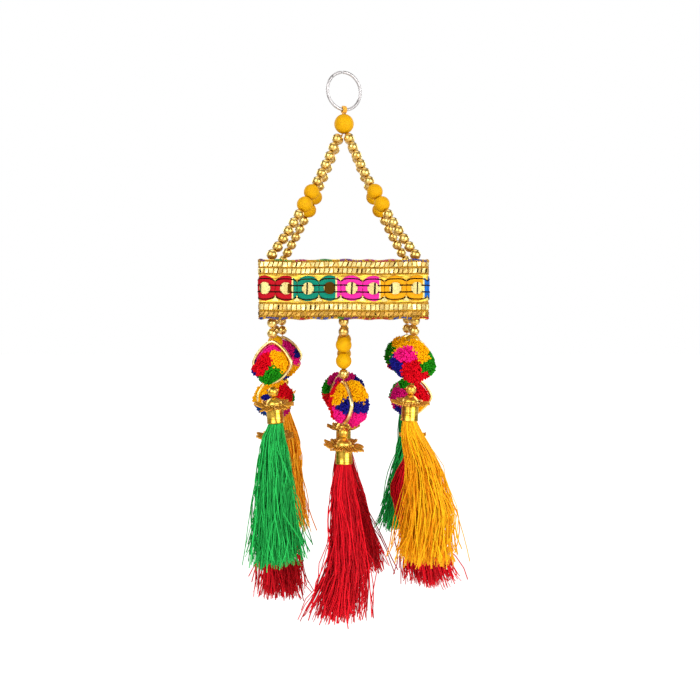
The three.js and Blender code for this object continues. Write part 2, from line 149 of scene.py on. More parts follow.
# One row for each drop. The words in it, in their order:
# at is its side of the frame in X and Y, slack the thread over its first bead, and turn the loop's angle.
# swing tips the whole drop and tilt its cap and ferrule, in degrees towards +X, while the silk hangs plumb.
# seam is the ferrule's joint, in degrees from +X.
# pompom is its half width, depth and height. square is 2 for an egg's form, and less nearer to a diamond.
# shift moves it in its loop, and spill is how far its yarn bulges past the loop in the upper left, upper
# right, lower left and lower right quarter. 0 leaves the loop bare, and less draws the yarn in.
# petals are their reach and rise, lifts what each rises more, and nod how far the back ones stand up and the
# front ones hang down.
# yarn is the silk, length its threads below the ferrule, and back how far their ends lie back. outline says
# how far aside and how far out the tassel reaches, at a share of its length. belly and end say the same at
# its widest part and its ends, for a tassel of the plain form.
# patches are the pompom's yarns, each with the ways it faces from the middle (right, back, up).
DROPS = [
    {"name": "front_left", "at": (-1, -1), "slack": 1.3, "swing": 0, "turn": -15, "tilt": 5, "seam": 130,
     "pompom": (10, 9, 9.5), "square": 1.55, "shift": (-0.3, 0, -0.9), "spill": (-0.5, -0.1, 0.9, 0.3),
     "petals": (8.8, -1.2), "lifts": (1.5, 2.4, 2.8, 3.4, 0.5, 0.6),
     "yarn": "green", "length": 61.2, "back": 0.4,
     "outline": [(0.09, -1.2, 4.9), (0.27, -1.1, 7.2), (0.5, -0.9, 9.6), (1, -0.4, 11.4)],
     "patches": {
        "crimson": [(-0.3, -0.88, 0.36), (-0.8, -0.6, 0.1), (-0.55, -0.8, -0.1), (-0.85, -0.3, -0.3)],
        "green": [(0.1, -0.85, -0.42), (0.3, -0.3, -0.9), (-0.35, -0.5, -0.8)],
        "navy": [(-0.9, 0, -0.5), (-0.4, 0.9, -0.1)],
        "pink": [(-0.62, -0.35, 0.7), (-0.1, -0.3, 0.95), (0.2, 0.8, 0.5)],
        "yellow": [(0.3, -0.8, 0.5), (0.6, -0.75, 0.15), (0.95, -0.2, -0.1), (0.3, 0.9, -0.3)],
     }},
    {"name": "front_right", "at": (1, -1), "slack": 0.3, "swing": -3, "turn": 8, "tilt": 0, "seam": 262,
     "pompom": (10.8, 9.6, 9.9), "square": 1.7, "shift": (0.2, -1, 0), "spill": (1, 0.25, 1, 1),
     "petals": (8.6, 0.6), "lifts": (0, 0, 0.5, 0.2, -0.1, -0.2), "nod": 0.5,
     "yarn": "amber", "length": 61, "back": -0.6,
     "outline": [(0.1, 1.4, 5.2), (0.3, 6, 8.8), (0.62, 9, 12.2), (1, 7, 12.8)],
     "patches": {
        "crimson": [(-0.1, -0.92, -0.3), (0, -0.7, -0.65), (0.45, -0.5, -0.75), (-0.35, -0.65, -0.65)],
        "green": [(0.58, -0.8, -0.15), (0.85, -0.45, 0.05), (0.8, -0.4, -0.3), (-0.5, 0.8, 0.1)],
        "navy": [(-0.85, -0.5, -0.15), (-0.75, -0.4, -0.5)],
        "pink": [(-0.35, -0.85, 0.32), (-0.62, -0.7, 0.35), (0.5, 0.8, -0.2)],
        "yellow": [(0.3, -0.7, 0.6), (-0.6, -0.3, 0.8), (0.4, -0.85, 0.25), (0, 0.6, 0.8)],
     }},
    {"name": "back_left", "at": (-1, 1), "slack": 1.6, "swing": 2.6, "turn": 4, "tilt": -5, "seam": 40,
     "pompom": (9.6, 9, 10.2), "square": 1.8, "shift": (-0.9, 0, -2.2), "spill": (-1, 0.2, 0.6, 0.8),
     "petals": (5.8, 1.8),
     "yarn": "orange", "length": 59, "back": 0.6, "belly": (1.2, 7.6), "end": (2, 9.6),
     "patches": {
        "crimson": [(-0.5, -0.8, 0.1), (0.4, 0.85, 0.3)],
        "green": [(-0.6, 0.7, 0.3)],
        "magenta": [(0.5, -0.6, 0.6), (0.2, -0.5, 0.85)],
        "navy": [(0.92, -0.3, 0.3), (-0.4, -0.3, -0.85)],
        "pink": [(0.9, -0.4, 0)],
        "yellow": [(0.85, -0.4, -0.4), (-0.5, -0.3, 0.8), (0.2, 0.7, -0.6)],
     }},
    {"name": "back_right", "at": (1, 1), "slack": 0.8, "swing": -1, "turn": 20, "tilt": 1, "seam": 60,
     "pompom": (10.9, 9.6, 9.8), "square": 2, "shift": (0, 0, -0.5), "spill": (1.5, 1, 1.2, 1),
     "petals": (7.2, 1), "yarn": "green", "length": 59.5, "back": 0.5, "belly": (2, 6), "end": (-2.6, 9.6),
     "patches": {
        "crimson": [(0.3, -0.8, -0.5), (-0.6, 0.7, -0.3)],
        "green": [(-0.9, -0.4, 0.1), (0.2, 0.95, 0.1)],
        "navy": [(-0.6, -0.5, -0.6)],
        "pink": [(0.8, 0.5, 0.2)],
        "yellow": [(-0.3, -0.5, 0.8), (0.4, -0.5, 0.75), (0.3, 0.6, -0.7)],
     }},
    {"name": "front_mid", "at": (0, -1), "slack": 0.6, "swing": 0, "turn": -66, "tilt": 0.5, "seam": 15,
     "pompom": (9.5, 8.3, 10.2), "square": 2, "shift": (0, 2.4, 0), "spill": (0.9, 0.9, 0.7, 0.7),
     "petals": (8.9, 0.4), "lifts": (-1.6, 0.6, 0.8, 1.7, 0.4, -0.6), "nod": 1.3,
     "yarn": "red", "length": 67.4, "back": 0,
     "outline": [(0.14, -0.6, 5.4), (0.36, 0.4, 6.9), (0.66, 1.6, 9.2), (1, -2.8, 11)],
     "patches": {
        "crimson": [(-0.5, 0.4, 0.75), (-0.95, -0.15, 0.25), (-0.85, 0.1, -0.45)],
        "green": [(0.2, 0.9, 0.3)],
        "navy": [(-0.3, -0.95, -0.12), (0.5, -0.85, -0.12), (0.9, -0.4, -0.12)],
        "pink": [(-0.5, -0.7, -0.5), (0.1, -0.6, -0.8), (0.6, -0.5, -0.7), (0.6, 0.7, -0.2)],
        "yellow": [(0.45, -0.65, 0.6), (0.6, -0.7, 0.36), (-0.55, -0.7, 0.4), (-0.05, -0.6, 0.8),
            (-0.4, 0.8, -0.4)],
     }},
    {"name": "back_mid", "at": (0, 1), "slack": 0.6, "swing": -0.6, "turn": 45, "tilt": 0.6, "seam": 200,
     "pompom": (11, 10, 9.8), "square": 2, "shift": (-0.4, -0.4, -0.6), "spill": (1.5, 1, 1.5, 1),
     "petals": (8.4, 1.8), "lifts": (0.4, -0.2, 0, 0.2, -0.2, 0),
     "yarn": "red", "length": 63, "back": 0.5, "belly": (1, 6.8), "end": (10, 10.6),
     "patches": {
        "crimson": [(-0.85, -0.3, -0.35), (0, -0.9, -0.3)],
        "green": [(-0.95, -0.2, 0.3), (0.2, 0.7, -0.7)],
        "magenta": [(-0.5, -0.4, 0.8), (0.2, -0.4, 0.9)],
        "navy": [(0.75, -0.4, 0.5)],
        "pink": [(0.4, 0.8, 0.3)],
        "yellow": [(0.8, -0.5, 0), (-0.5, 0.8, 0)],
     }},
    {"name": "left_mid", "at": (-1, 0), "slack": 0.6, "swing": -0.6, "turn": 30, "tilt": 1, "seam": 90,
     "pompom": (9.6, 9.2, 9.6), "square": 1.75, "shift": (-0.6, 0, -0.9),
     "petals": (8.8, 1), "lifts": (0, 0.2, -0.4, 0.3, 0.5, 0), "nod": 1.2,
     "yarn": "red", "length": 66, "back": 0, "belly": (0, 7.2), "end": (2.6, 10.4),
     "patches": {
        "blue": [(-0.65, -0.5, -0.65)],
        "crimson": [(0.55, -0.75, 0.4), (0.8, -0.5, 0.1), (-0.6, 0.7, 0.1)],
        "green": [(0.9, 0.2, -0.3), (0.3, 0.8, -0.4)],
        "magenta": [(0.55, -0.4, -0.75)],
        "navy": [(-0.3, -0.95, 0.02)],
        "pink": [(0.2, 0.8, 0.5)],
        "yellow": [(-0.6, -0.65, 0.5), (-0.75, -0.65, -0.1), (0, -0.7, 0.75), (0.55, -0.75, -0.25)],
     }},
    {"name": "right_mid", "at": (1, 0), "slack": 0.3, "swing": 0, "turn": 0, "tilt": 0, "seam": 300,
     "pompom": (9.9, 9.2, 9.6), "square": 1.9, "shift": (-1.3, 0, -0.3), "spill": (1, 0, 1, 0.1),
     "petals": (6.4, 1.4), "yarn": "red", "length": 60.5, "back": 0, "belly": (-2.4, 8.8), "end": (9, 11),
     "patches": {
        "crimson": [(0.5, -0.75, 0.4), (0.85, -0.5, 0.1), (0, -0.95, 0)],
        "green": [(-0.35, -0.5, 0.85), (-0.6, 0.7, 0)],
        "magenta": [(-0.8, -0.55, 0.35), (-0.95, -0.2, -0.3), (-0.5, -0.85, 0.1)],
        "navy": [(-0.5, -0.4, -0.8)],
        "pink": [(0.2, 0.9, -0.3)],
        "yellow": [(0.6, -0.5, -0.65), (0.3, 0.8, 0.4)],
     }},
]


# Meshes

def unit(vectors):
    return vectors / np.maximum(np.linalg.norm(vectors, axis=-1, keepdims=True), 1e-9)


def stacked(*coordinates):
    """Points from their coordinates, where one number may stand for all of them."""
    return np.stack(np.broadcast_arrays(*coordinates), -1)


def grid_faces(rows, columns, closed_rows=False, closed_columns=True):
    """Quads between rings of points. They face outwards where the columns run left-handed to the rows."""
    k = np.arange(rows if closed_rows else rows - 1)[:, None]
    i = np.arange(columns if closed_columns else columns - 1)[None, :]
    k2, i2 = (k + 1) % rows, (i + 1) % columns
    quads = [k * columns + i, k * columns + i2, k2 * columns + i2, k2 * columns + i]
    return np.stack(quads, -1).reshape(-1, 4)


def even_turns(count):
    return 2 * np.pi * np.arange(count) / count


def circle(sides):
    turn = even_turns(sides)
    return stacked(np.cos(turn), np.sin(turn))


def tubes(paths, radii, section, lean, closed=False):
    """A tube along each path of points. section is the tube's own outline, which the radii scale, and lean is
    a direction that no path follows. Gives each tube's points, and the faces of one."""
    paths = np.asarray(paths, float)
    count, steps = paths.shape[:2]
    along = np.roll(paths, -1, 1) - np.roll(paths, 1, 1) if closed else np.gradient(paths, axis=1)
    along = unit(along)
    side = unit(np.cross(along, lean))[:, :, None]
    up = np.cross(along[:, :, None], side)
    ring = section[:, :1] * side + section[:, 1:] * up
    points = paths[:, :, None] + np.broadcast_to(radii, (count, steps))[..., None, None] * ring
    sides = len(section)
    faces = [grid_faces(steps, sides, closed_rows=closed)]
    if not closed:
        faces.append(np.array([np.arange(sides)[::-1], (steps - 1) * sides + np.arange(sides)]))
    return points.reshape(count, -1, 3), faces


def lathe(profile, turns):
    """A profile of radii and heights, from the foot up its outside, turned about Z."""
    profile, turns = np.array(profile, float), np.asarray(turns)
    radius, height = profile[:, :1], profile[:, 1:]
    return stacked(radius * np.cos(turns), radius * np.sin(turns), height).reshape(-1, 3)


def moved(points, matrix):
    matrix = np.array(matrix)
    return points @ matrix[:3, :3].T + matrix[:3, 3]


def shifted(x, y, z):
    return Matrix.Translation((x, y, z))


def turned(axis, degrees):
    return Matrix.Rotation(math.radians(degrees), 4, axis)


def curve(start, bend, end, t):
    """A line that leaves start towards bend and comes to end from it."""
    return (1 - t) ** 2 * start + 2 * t * (1 - t) * bend + t**2 * end


class Skin:
    """The points and faces of one piece, gathered from its parts, with the finish of each face and the shade
    of each point, from 0 for dark to 1 for light."""

    def __init__(self):
        self.points, self.faces, self.finishes, self.shades, self.count = [], [], [], [], 0

    def add(self, points, faces, finish=0, shade=0.5, place=None):
        """Adds copies of one form, with a row of points for each, moved by the matrix place. finish is one
        number or one for each copy."""
        points = np.asarray(points, float) if place is None else moved(points, place)
        points = points[None] if points.ndim == 2 else points
        copies, size = points.shape[:2]
        starts = self.count + size * np.arange(copies)
        for group in faces:
            self.faces += (starts[:, None, None] + group).reshape(-1, group.shape[1]).tolist()
            self.finishes += np.repeat(np.broadcast_to(finish, copies), len(group)).tolist()
        self.points.append(points.reshape(-1, 3))
        self.shades.append(np.broadcast_to(shade, (copies, size)).reshape(-1))
        self.count += copies * size


def piece(name, skin, finishes, nodes, smooth=True):
    mesh = bpy.data.meshes.new(name)
    mesh.from_pydata((np.concatenate(skin.points) * MM).tolist(), [], skin.faces)
    mesh.polygons.foreach_set("material_index", np.array(skin.finishes, np.int32))
    mesh.polygons.foreach_set("use_smooth", np.full(len(skin.faces), smooth))
    shade = mesh.attributes.new("shade", "FLOAT", "POINT")
    shade.data.foreach_set("value", np.concatenate(skin.shades).astype(np.float32))
    for finish in finishes:
        mesh.materials.append(finish)
    made = bpy.data.objects.new(name, mesh)
    bpy.context.collection.objects.link(made)
    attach(made, "root")
    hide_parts(*nodes)
    return made


# Materials

def colour(code):
    """An sRGB hex colour as linear red, green, blue and alpha."""
    parts = [int(code[i : i + 2], 16) / 255 for i in (1, 3, 5)]
    return [p / 12.92 if p <= 0.04045 else ((p + 0.055) / 1.055) ** 2.4 for p in parts] + [1.0]


def node(tree, kind, inputs=None, **settings):
    """A node with its settings. An input is a value, or another node's output to link."""
    made = tree.nodes.new("ShaderNode" + kind)
    for name, value in settings.items():
        setattr(made, name, value)
    for name, value in (inputs or {}).items():
        if isinstance(value, bpy.types.NodeSocket):
            tree.links.new(value, made.inputs[name])
        else:
            made.inputs[name].default_value = value
    return made


def grain(size, stretch=(1, 1, 1), detail=2.0, span=None):
    """A function that adds noise to a node tree, and gives its output. Its patches are size mm across, drawn
    out along the axes by stretch, and the two values in span become 0 and 1."""
    def output(tree):
        place = node(tree, "TexCoord").outputs["Object"]
        scaled = node(tree, "Mapping", {"Vector": place, "Scale": [1 / (size * MM * s) for s in stretch]})
        noise = node(tree, "TexNoise", {"Vector": scaled.outputs["Vector"], "Scale": 1.0, "Detail": detail})
        if span is None:
            return noise.outputs["Fac"]
        limits = {"Value": noise.outputs["Fac"], "From Min": span[0], "From Max": span[1]}
        return node(tree, "MapRange", limits).outputs["Result"]
    return output


def shade(tree):
    return node(tree, "Attribute", attribute_name="shade").outputs["Fac"]


def material(name, dark, light, factor, sockets, relief=None, depth=0.0, roughness=None):
    """A surface whose colour runs from dark to light by factor. relief is a bump, depth mm high. factor,
    relief and roughness are functions that give a node's output, and sockets are the shader's own values."""
    made = bpy.data.materials.new(name)
    made.use_nodes = True
    tree = made.node_tree
    shader = tree.nodes["Principled BSDF"]
    mix = node(tree, "Mix", {0: factor(tree), 6: colour(dark), 7: colour(light)}, data_type="RGBA")
    tree.links.new(mix.outputs[2], shader.inputs["Base Color"])
    for socket, value in sockets.items():
        shader.inputs[socket].default_value = value
    if roughness:
        tree.links.new(roughness(tree), shader.inputs["Roughness"])
    if relief:
        bump = node(tree, "Bump", {"Height": relief(tree), "Distance": depth * MM, "Strength": 1.0})
        tree.links.new(bump.outputs["Normal"], shader.inputs["Normal"])
    return made


def smudged(low, high, size):
    """Roughness that wanders between two values in patches of that size."""
    def output(tree):
        limits = {"Value": grain(size)(tree), "From Min": 0.3, "From Max": 0.7, "To Min": low, "To Max": high}
        return node(tree, "MapRange", limits).outputs["Result"]
    return output


# Plated steel wire, drawn and cut: a hard bright grey with faint lines along it.
STEEL_WIRE = material(
    "plated_steel_wire", "#9c9899", "#d2cece", grain(1.5), {"Metallic": 0.85},
    grain(0.8), 0.001, smudged(0.36, 0.44, 1.5))
# Vacuum-plated acrylic beads: a mirror of yellow gold, with the ripple of thin moulded plastic.
PLATED_BEAD = material(
    "gold_plated_bead", "#c8983a", "#eccb74", grain(1.6, span=(0.3, 0.62)),
    {"Metallic": 1.0, "Coat Weight": 0.5, "Coat Roughness": 0.1},
    grain(1.6), 0.003, smudged(0.32, 0.38, 1.2))
# Opaque acrylic beads, tumbled: warm yellow with a soft sheen and no hard highlight.
YELLOW_ACRYLIC = material(
    "yellow_acrylic_bead", "#d09400", "#dca400", grain(2.5, span=(0.3, 0.7)),
    {"Roughness": 0.6, "Specular IOR Level": 0.1}, grain(1.5), 0.001)
# Polyester sewing thread: dull yellow plies.
YELLOW_THREAD = material(
    "yellow_polyester_thread", "#c98a08", "#f4b41c", grain(0.4), {"Roughness": 0.6, "Sheen Weight": 0.3},
    grain(0.2), 0.05)
# Plated moulded plastic: a pale bright gold, softer than the beads.
GOLD_MOULDING = material(
    "gold_plated_moulding", "#dcae52", "#fae2a2", grain(2.5, span=(0.3, 0.6)), {"Metallic": 1.0},
    grain(1.5), 0.002, smudged(0.28, 0.4, 1.5))
# Pressed brass bell and bead caps: satin, so that they shade softly from bright to brown.
SATIN_BRASS = material(
    "satin_brass", "#d09a28", "#ffd664", grain(2.0, (3, 3, 0.5), span=(0.3, 0.65)),
    {"Metallic": 1.0}, grain(0.6, (5, 5, 0.4)), 0.0015, smudged(0.37, 0.42, 2.0))
# Stamped brass cups, lacquered: polished, with faint lines round them from the turning.
BRASS_CUP = material(
    "lacquered_brass", "#c08a1e", "#f2c850", grain(2.0, (3, 3, 0.3), span=(0.3, 0.65)),
    {"Metallic": 1.0}, grain(0.5, (8, 8, 0.3)), 0.0008, smudged(0.28, 0.33, 2.0))
# Plated petals, toned with brown: gold on the ribs, dark where the tone has settled between them.
# Their outer rim is a painted highlight and their underside has painted shade.
TONED_PETAL_WITH_PAINTED_LIGHT = material(
    "brown_toned_gold_petal_with_painted_light", "#6a3804", "#f2ae40", shade,
    {"Metallic": 0.6, "Specular IOR Level": 0.2},
    grain(0.6), 0.03, smudged(0.28, 0.45, 1.0))
# Pressed card: brown fibres, quite matt.
CARD = material(
    "pressed_card", "#8a5a22", "#c2924e", grain(0.8, (3, 3, 1), 5.0), {"Roughness": 0.92},
    grain(0.3, detail=4.0), 0.04)
# Gold thread cloth: fine amber ribs along the lace. Their true pitch is 0.25 mm, drawn at 0.6 mm to show.
GOTA_GROUND = material(
    "gold_thread_cloth", "#aa7610", "#ffde4e", grain(0.85, (4, 4, 0.7), span=(0.34, 0.6)),
    {"Metallic": 0.3}, grain(0.85, (4, 4, 0.7)), 0.14, smudged(0.38, 0.55, 1.0))
# Gota foil: flat strips of pale gold film with small creases, which flash as they tilt.
GOTA_FOIL = material(
    "gold_foil_strip", "#bc8420", "#fff0a0", shade, {"Metallic": 0.55},
    grain(1.0), 0.02, smudged(0.22, 0.4, 0.8))
# Twisted gold cord: film wound on a core, darker in the lay of the twist.
GOLD_CORD = material(
    "twisted_gold_cord", "#603a04", "#d49a1e", shade, {"Metallic": 0.5, "Roughness": 0.42},
    grain(0.25), 0.05)
# Slits between the foil strips: the brown gauze behind them, with its shadow painted into its colour.
GAUZE_PAINTED_SHADE = material(
    "brown_gauze_painted_shade", "#2a1802", "#62400a", grain(0.5),
    {"Roughness": 0.9, "Specular IOR Level": 0.05},
    grain(0.4), 0.05)
# Brown cotton thread, twisted: nearly black, a little lighter in patches. The narrow slits use it too, as
# painted shade.
BROWN_THREAD_AND_SLIT_SHADE = material(
    "brown_cotton_thread_and_slit_shade", "#100602", "#2a1404", grain(0.4),
    {"Roughness": 0.8, "Specular IOR Level": 0.05},
    grain(0.2), 0.04)


def embroidery(name, dark, light):
    """Viscose embroidery floss in satin stitch: smooth, with a painted highlight on the crown of each ring's
    stitches.
    """
    return material(
        name + "_embroidery_floss", dark, light, shade,
        {"Roughness": 0.55, "Specular IOR Level": 0.12}, grain(0.25), 0.03)


def pompom_yarn(name, dark, light):
    """Cut acrylic yarn: matt and soft, with painted shade that darkens it down between the ends, and bright
    at their tips.
    """
    return material(
        name + "_pompom_yarn", dark, light, shade,
        {"Roughness": 0.95, "Specular IOR Level": 0.05}, grain(0.3), 0.06)


def tassel_silk(name, dark, light):
    """Art silk floss: long bright threads, each a little lighter or darker than its neighbours, with painted
    shade deep inside the tassel.
    """
    return material(
        name + "_art_silk", dark, light, shade,
        {"Roughness": 0.5, "Specular IOR Level": 0.12}, grain(0.2, (1, 1, 12)), 0.02)


def dyed(kind, *rows):
    """One kind of yarn in several colours, by their names."""
    return {name: kind(name, dark, light) for name, dark, light in rows}


RING_COLOURS = dyed(
    embroidery, ("crimson", "#7a0010", "#ba0018"), ("teal", "#004a3a", "#00836a"),
    ("hot_pink", "#a80c66", "#ea2a9c"), ("marigold", "#a86800", "#eca206"),
    ("royal_blue", "#0a3478", "#1266c0"))
EDGE_COLOURS = dyed(
    embroidery, ("edge_magenta", "#7a0a40", "#b41c66"), ("edge_blue", "#1a2260", "#3a50a0"),
    ("edge_purple", "#3c0e52", "#6e2a84"), ("edge_green", "#0e5420", "#2a8a3e"),
    ("edge_gold", "#7a500a", "#d09a2e"), ("edge_red", "#7a0a18", "#b81c30"))
YARNS = dyed(
    pompom_yarn, ("crimson", "#a0000a", "#ea0c20"), ("pink", "#c00858", "#fa1e8c"),
    ("magenta", "#92044a", "#d81478"), ("yellow", "#cc8200", "#ffba08"), ("green", "#064002", "#229616"),
    ("navy", "#0a084a", "#1e1e88"), ("blue", "#061c50", "#124a9a"))
SILKS = dyed(
    tassel_silk, ("green", "#057028", "#32d866"), ("amber", "#ee8a00", "#ffd014"),
    ("orange", "#ff8c00", "#ffc42c"), ("red", "#a0000e", "#fa1428"))


# Beads, ring and ties

def bead_form(hole):
    """A ball of radius 1 with a rounded hole along Z. hole is its radius as a share of the bead's."""
    turns = even_turns(22)
    edge = math.acos(hole)
    latitudes = np.linspace(-edge, edge, 12)
    profile = [(0.7 * hole, -0.6), (0.8 * hole, -math.sin(edge) + 0.06)]
    profile += [(math.cos(a), math.sin(a)) for a in latitudes]
    profile += [(0.8 * hole, math.sin(edge) - 0.06), (0.7 * hole, 0.6)]
    return lathe(profile, turns), [grid_faces(len(profile), len(turns))]


def strung(skin, centres, alongs, radii, hole=GOLD_HOLE):
    """Beads at their centres, each with its hole along the thread."""
    form, faces = bead_form(hole)
    alongs = unit(np.asarray(alongs, float))
    side = unit(np.cross(alongs, SKEW))
    up = np.cross(alongs, side)
    axes = np.stack([side, up, alongs], 1)
    points = np.asarray(radii)[:, None, None] * np.einsum("pi,nij->npj", form, axes)
    skin.add(points + np.asarray(centres)[:, None], faces)


def wire_ring():
    half_opening = RING_OPENING / 2 / RING_RADIUS
    angles = RING_OPENING_ANGLE + np.linspace(half_opening, 2 * math.pi - half_opening, 120)
    path = RING_RADIUS * stacked(np.cos(angles), 0, np.sin(angles))
    # The wire's cut ends are nipped a little thinner.
    radii = np.full(len(angles), RING_WIRE)
    radii[[0, -1]] *= WIRE_NIP
    skin = Skin()
    place = shifted(0, 0, RING_WIRE - RING_RADIUS) @ turned("Z", RING_TURN)
    skin.add(*tubes(path[None], radii, circle(14), (0, 1, 0)), place=place)
    piece("wire_ring", skin, [STEEL_WIRE], ["hanging_ring"])


def tie():
    """Thread wound round the wire, and its two ends that go down into the crown bead."""
    place = shifted(0, 0, RING_WIRE - 2 * RING_RADIUS) @ turned("Z", RING_TURN)
    skin = Skin()
    turns = np.linspace(TIE_START, TIE_START + TIE_TURNS, 90)
    reach = TIE_OUTER - TIE_THREAD
    along = (TIE_WIDTH / 2 - TIE_THREAD) * (2 * (turns - TIE_START) / TIE_TURNS - 1)
    angle = 2 * np.pi * turns
    winding = stacked(along, reach * np.cos(angle), reach * np.sin(angle))
    skin.add(*tubes(winding[None], TIE_THREAD, circle(8), (1, 0, 0)), place=place)
    t = np.linspace(0, 1, 12)
    ends = []
    for side in (-1, 1):
        ends.append(stacked(side * TIE_SPREAD * (1 - t), -0.5 * side * t * (1 - t), -reach - TIE_DROP * t))
    skin.add(*tubes(ends, TIE_THREAD, circle(8), (1, 0.2, 0)), place=place)
    piece("tie_thread", skin, [YELLOW_THREAD], ["tie_loop"])


def crown():
    flat = math.sqrt(CROWN_BEAD**2 - BEAD_HOLE**2)
    centre = (0, 0, RING_WIRE - 2 * RING_RADIUS - TIE_OUTER - GAP - flat)
    skin = Skin()
    strung(skin, [centre], [(0, 0, 1)], [CROWN_BEAD], BEAD_HOLE / CROWN_BEAD)
    piece("yellow_crown_bead", skin, [YELLOW_ACRYLIC], ["crown_bead"])


def strand(row):
    """A strand from the crown bead to one corner: a gold run, two yellow beads and a second gold run."""
    sx, sy = row["side"]
    top = np.array([sx * row["top"], sy * row["top"], row["top_z"]])
    foot = np.array([sx * row["foot"], sy * row["foot"], FRAME_TOP + GAP + STRAND_GOLD_BEAD])
    inward = unit(np.cross(unit(foot - top), unit(np.array([-sy, sx, 0.0]))))
    inward *= -np.sign(inward[2])
    line = curve(top, (top + foot) / 2 + row["sag"] * inward, foot, np.linspace(0, 1, 400)[:, None])
    reached = np.concatenate([[0], np.cumsum(np.linalg.norm(np.diff(line, axis=0), axis=1))])
    gold = [STRAND_GOLD_BEAD] * STRAND_RUN
    radii = np.array(gold + [STRAND_YELLOW_BEAD] * 2 + gold)
    places = np.concatenate([[0], np.cumsum(radii[:-1] + radii[1:])])
    places *= reached[-1] / places[-1]
    centres = stacked(*[np.interp(places, reached, line[:, i]) for i in range(3)])
    alongs = np.gradient(centres, axis=0)
    start = np.array([sx * STRAND_START["reach"], sy * STRAND_START["reach"], STRAND_START["z"]])
    end = centres[-1] + unit(alongs[-1]) * STRAND_GOLD_BEAD
    thread = np.concatenate([[start], centres, [end]])
    string_of_beads(row["name"], "strand_", centres, alongs, radii, radii == STRAND_YELLOW_BEAD, thread)


def string_of_beads(name, kind, centres, alongs, radii, yellow, thread):
    """Gold and yellow beads on one thread. Each piece stands for the same node."""
    nodes = [kind + name]
    gold_beads, yellow_beads, cord = Skin(), Skin(), Skin()
    uneven = 1 - BEAD_UNEVEN * np.random.default_rng(len(name)).random(len(radii))
    strung(gold_beads, centres[~yellow], alongs[~yellow], (radii * uneven)[~yellow])
    piece(kind + "gold_" + name, gold_beads, [PLATED_BEAD], nodes)
    if yellow.any():
        strung(yellow_beads, centres[yellow], alongs[yellow], radii[yellow], YELLOW_HOLE)
        piece(kind + "yellow_" + name, yellow_beads, [YELLOW_ACRYLIC], nodes)
    cord.add(*tubes(thread[None], THREAD, circle(6), SKEW))
    piece(kind + "thread_" + name, cord, [YELLOW_THREAD], nodes)


# Lace

CORNER_RUN = math.pi / 2 * LACE_CORNER
STRAIGHT = LACE_SIDE - 2 * LACE_CORNER
QUARTER = STRAIGHT + CORNER_RUN
LACE_ROUND = 4 * QUARTER
LACE_LENGTH = LACE_ROUND + LAP_LENGTH
# From the lace's start on the back to where the front's straight run begins.
TO_FRONT = LACE_ROUND - (2 * QUARTER + LACE_SIDE / 2 - LACE_CORNER - LAP_START)
# The centre line of the rings, up from the lace's foot. Colours change every second ring.
RING_LINE = LACE_HEIGHT - 12.0
RING_PITCH = 9.2
RING_OUTER = 5.43
RING_HOLE = 2.4
FIRST_RING = TO_FRONT + 0.25
FIRST_CUT = TO_FRONT + 12.15
CUT_GAP = 0.25
# The rows of foil squares: where the row's middle is up the lace, how tall it is, how far its threads slant,
# the share of dark slits and how bright it is.
TILE_ROWS = [
    {"up": 23.05, "tall": 2.1, "slant": 0.75, "dark": 0.07, "bright": 1.0},
    {"up": 20.35, "tall": 2.1, "slant": 0.35, "dark": 0.2, "bright": 1.0},
    {"up": 5.1, "tall": 2.4, "slant": 0.2, "dark": 0.12, "bright": 0.95},
    {"up": 2.3, "tall": 1.7, "slant": 0.9, "dark": 0.1, "bright": 0.12},
]
TILE_PITCH = 1.95
TILE_INSET = 0.16
TILE_SCATTER = 0.3
TILE_BEVEL = 0.18
TILE_TILT = 0.44
TILE_TOP = -0.2
# How far the trims stand over the lace's face.
PANE_HEIGHT = 0.17
SLIT_HEIGHT = 0.24
TRIANGLE_HEIGHT = 0.16
STRIP_HEIGHT = 0.42
CORD_HEIGHT = 0.16
TRIANGLE_FOOT = 7.55
TRIANGLE_TIP = 9.7
CORD_PITCH = 0.62
CORD_STITCH = (1.15, 0.26)  # its length and half its thickness
CORD_LAY = math.radians(28)
BRAID_PITCH = 1.05
BRAID_STITCH = (1.7, 0.36)
BRAIDS = [(1.0, math.radians(30)), (24.35, math.radians(-30))]  # their heights and their stitches' slope
THREADS_APART = 1.4
OVERCAST_PITCH = 0.55
OVERCAST_THREAD = 0.22
STITCHES = 84
THINNEST_STITCH = 0.08
CROWN_HEIGHT = 0.36
EDGE_THREAD_REACH = 4.3
BROWN_THREAD_RADIUS = 0.29
WIDE_SLIT = 0.8  # at least this wide, a slit is painted in the gauze's shade, and a narrower one in the brown thread's
OFF_THE_LACE = (0.02, 0.03, 1)  # a direction that no stitch follows
CORDS = [21.7, 19.0, 6.8, 3.5]
# The slits in the front's eight holes: offset and width. The other holes repeat them.
SLITS = [(-1.9, 0.4), (1.5, 1.7), (-0.35, 0.7), (0, 4.6), (0.1, 0.7), (0.6, 0.75), (-1.5, 0.7), (0.1, 0.5)]


def trim(name, skin, finishes, smooth=True):
    return piece(name, skin, finishes, ["lace_band"], smooth)


def row_places(pitch):
    """Where the squares or stitches of a row come, along the lace."""
    return np.arange(LACE_MARGIN, LACE_LENGTH - LACE_MARGIN, pitch)


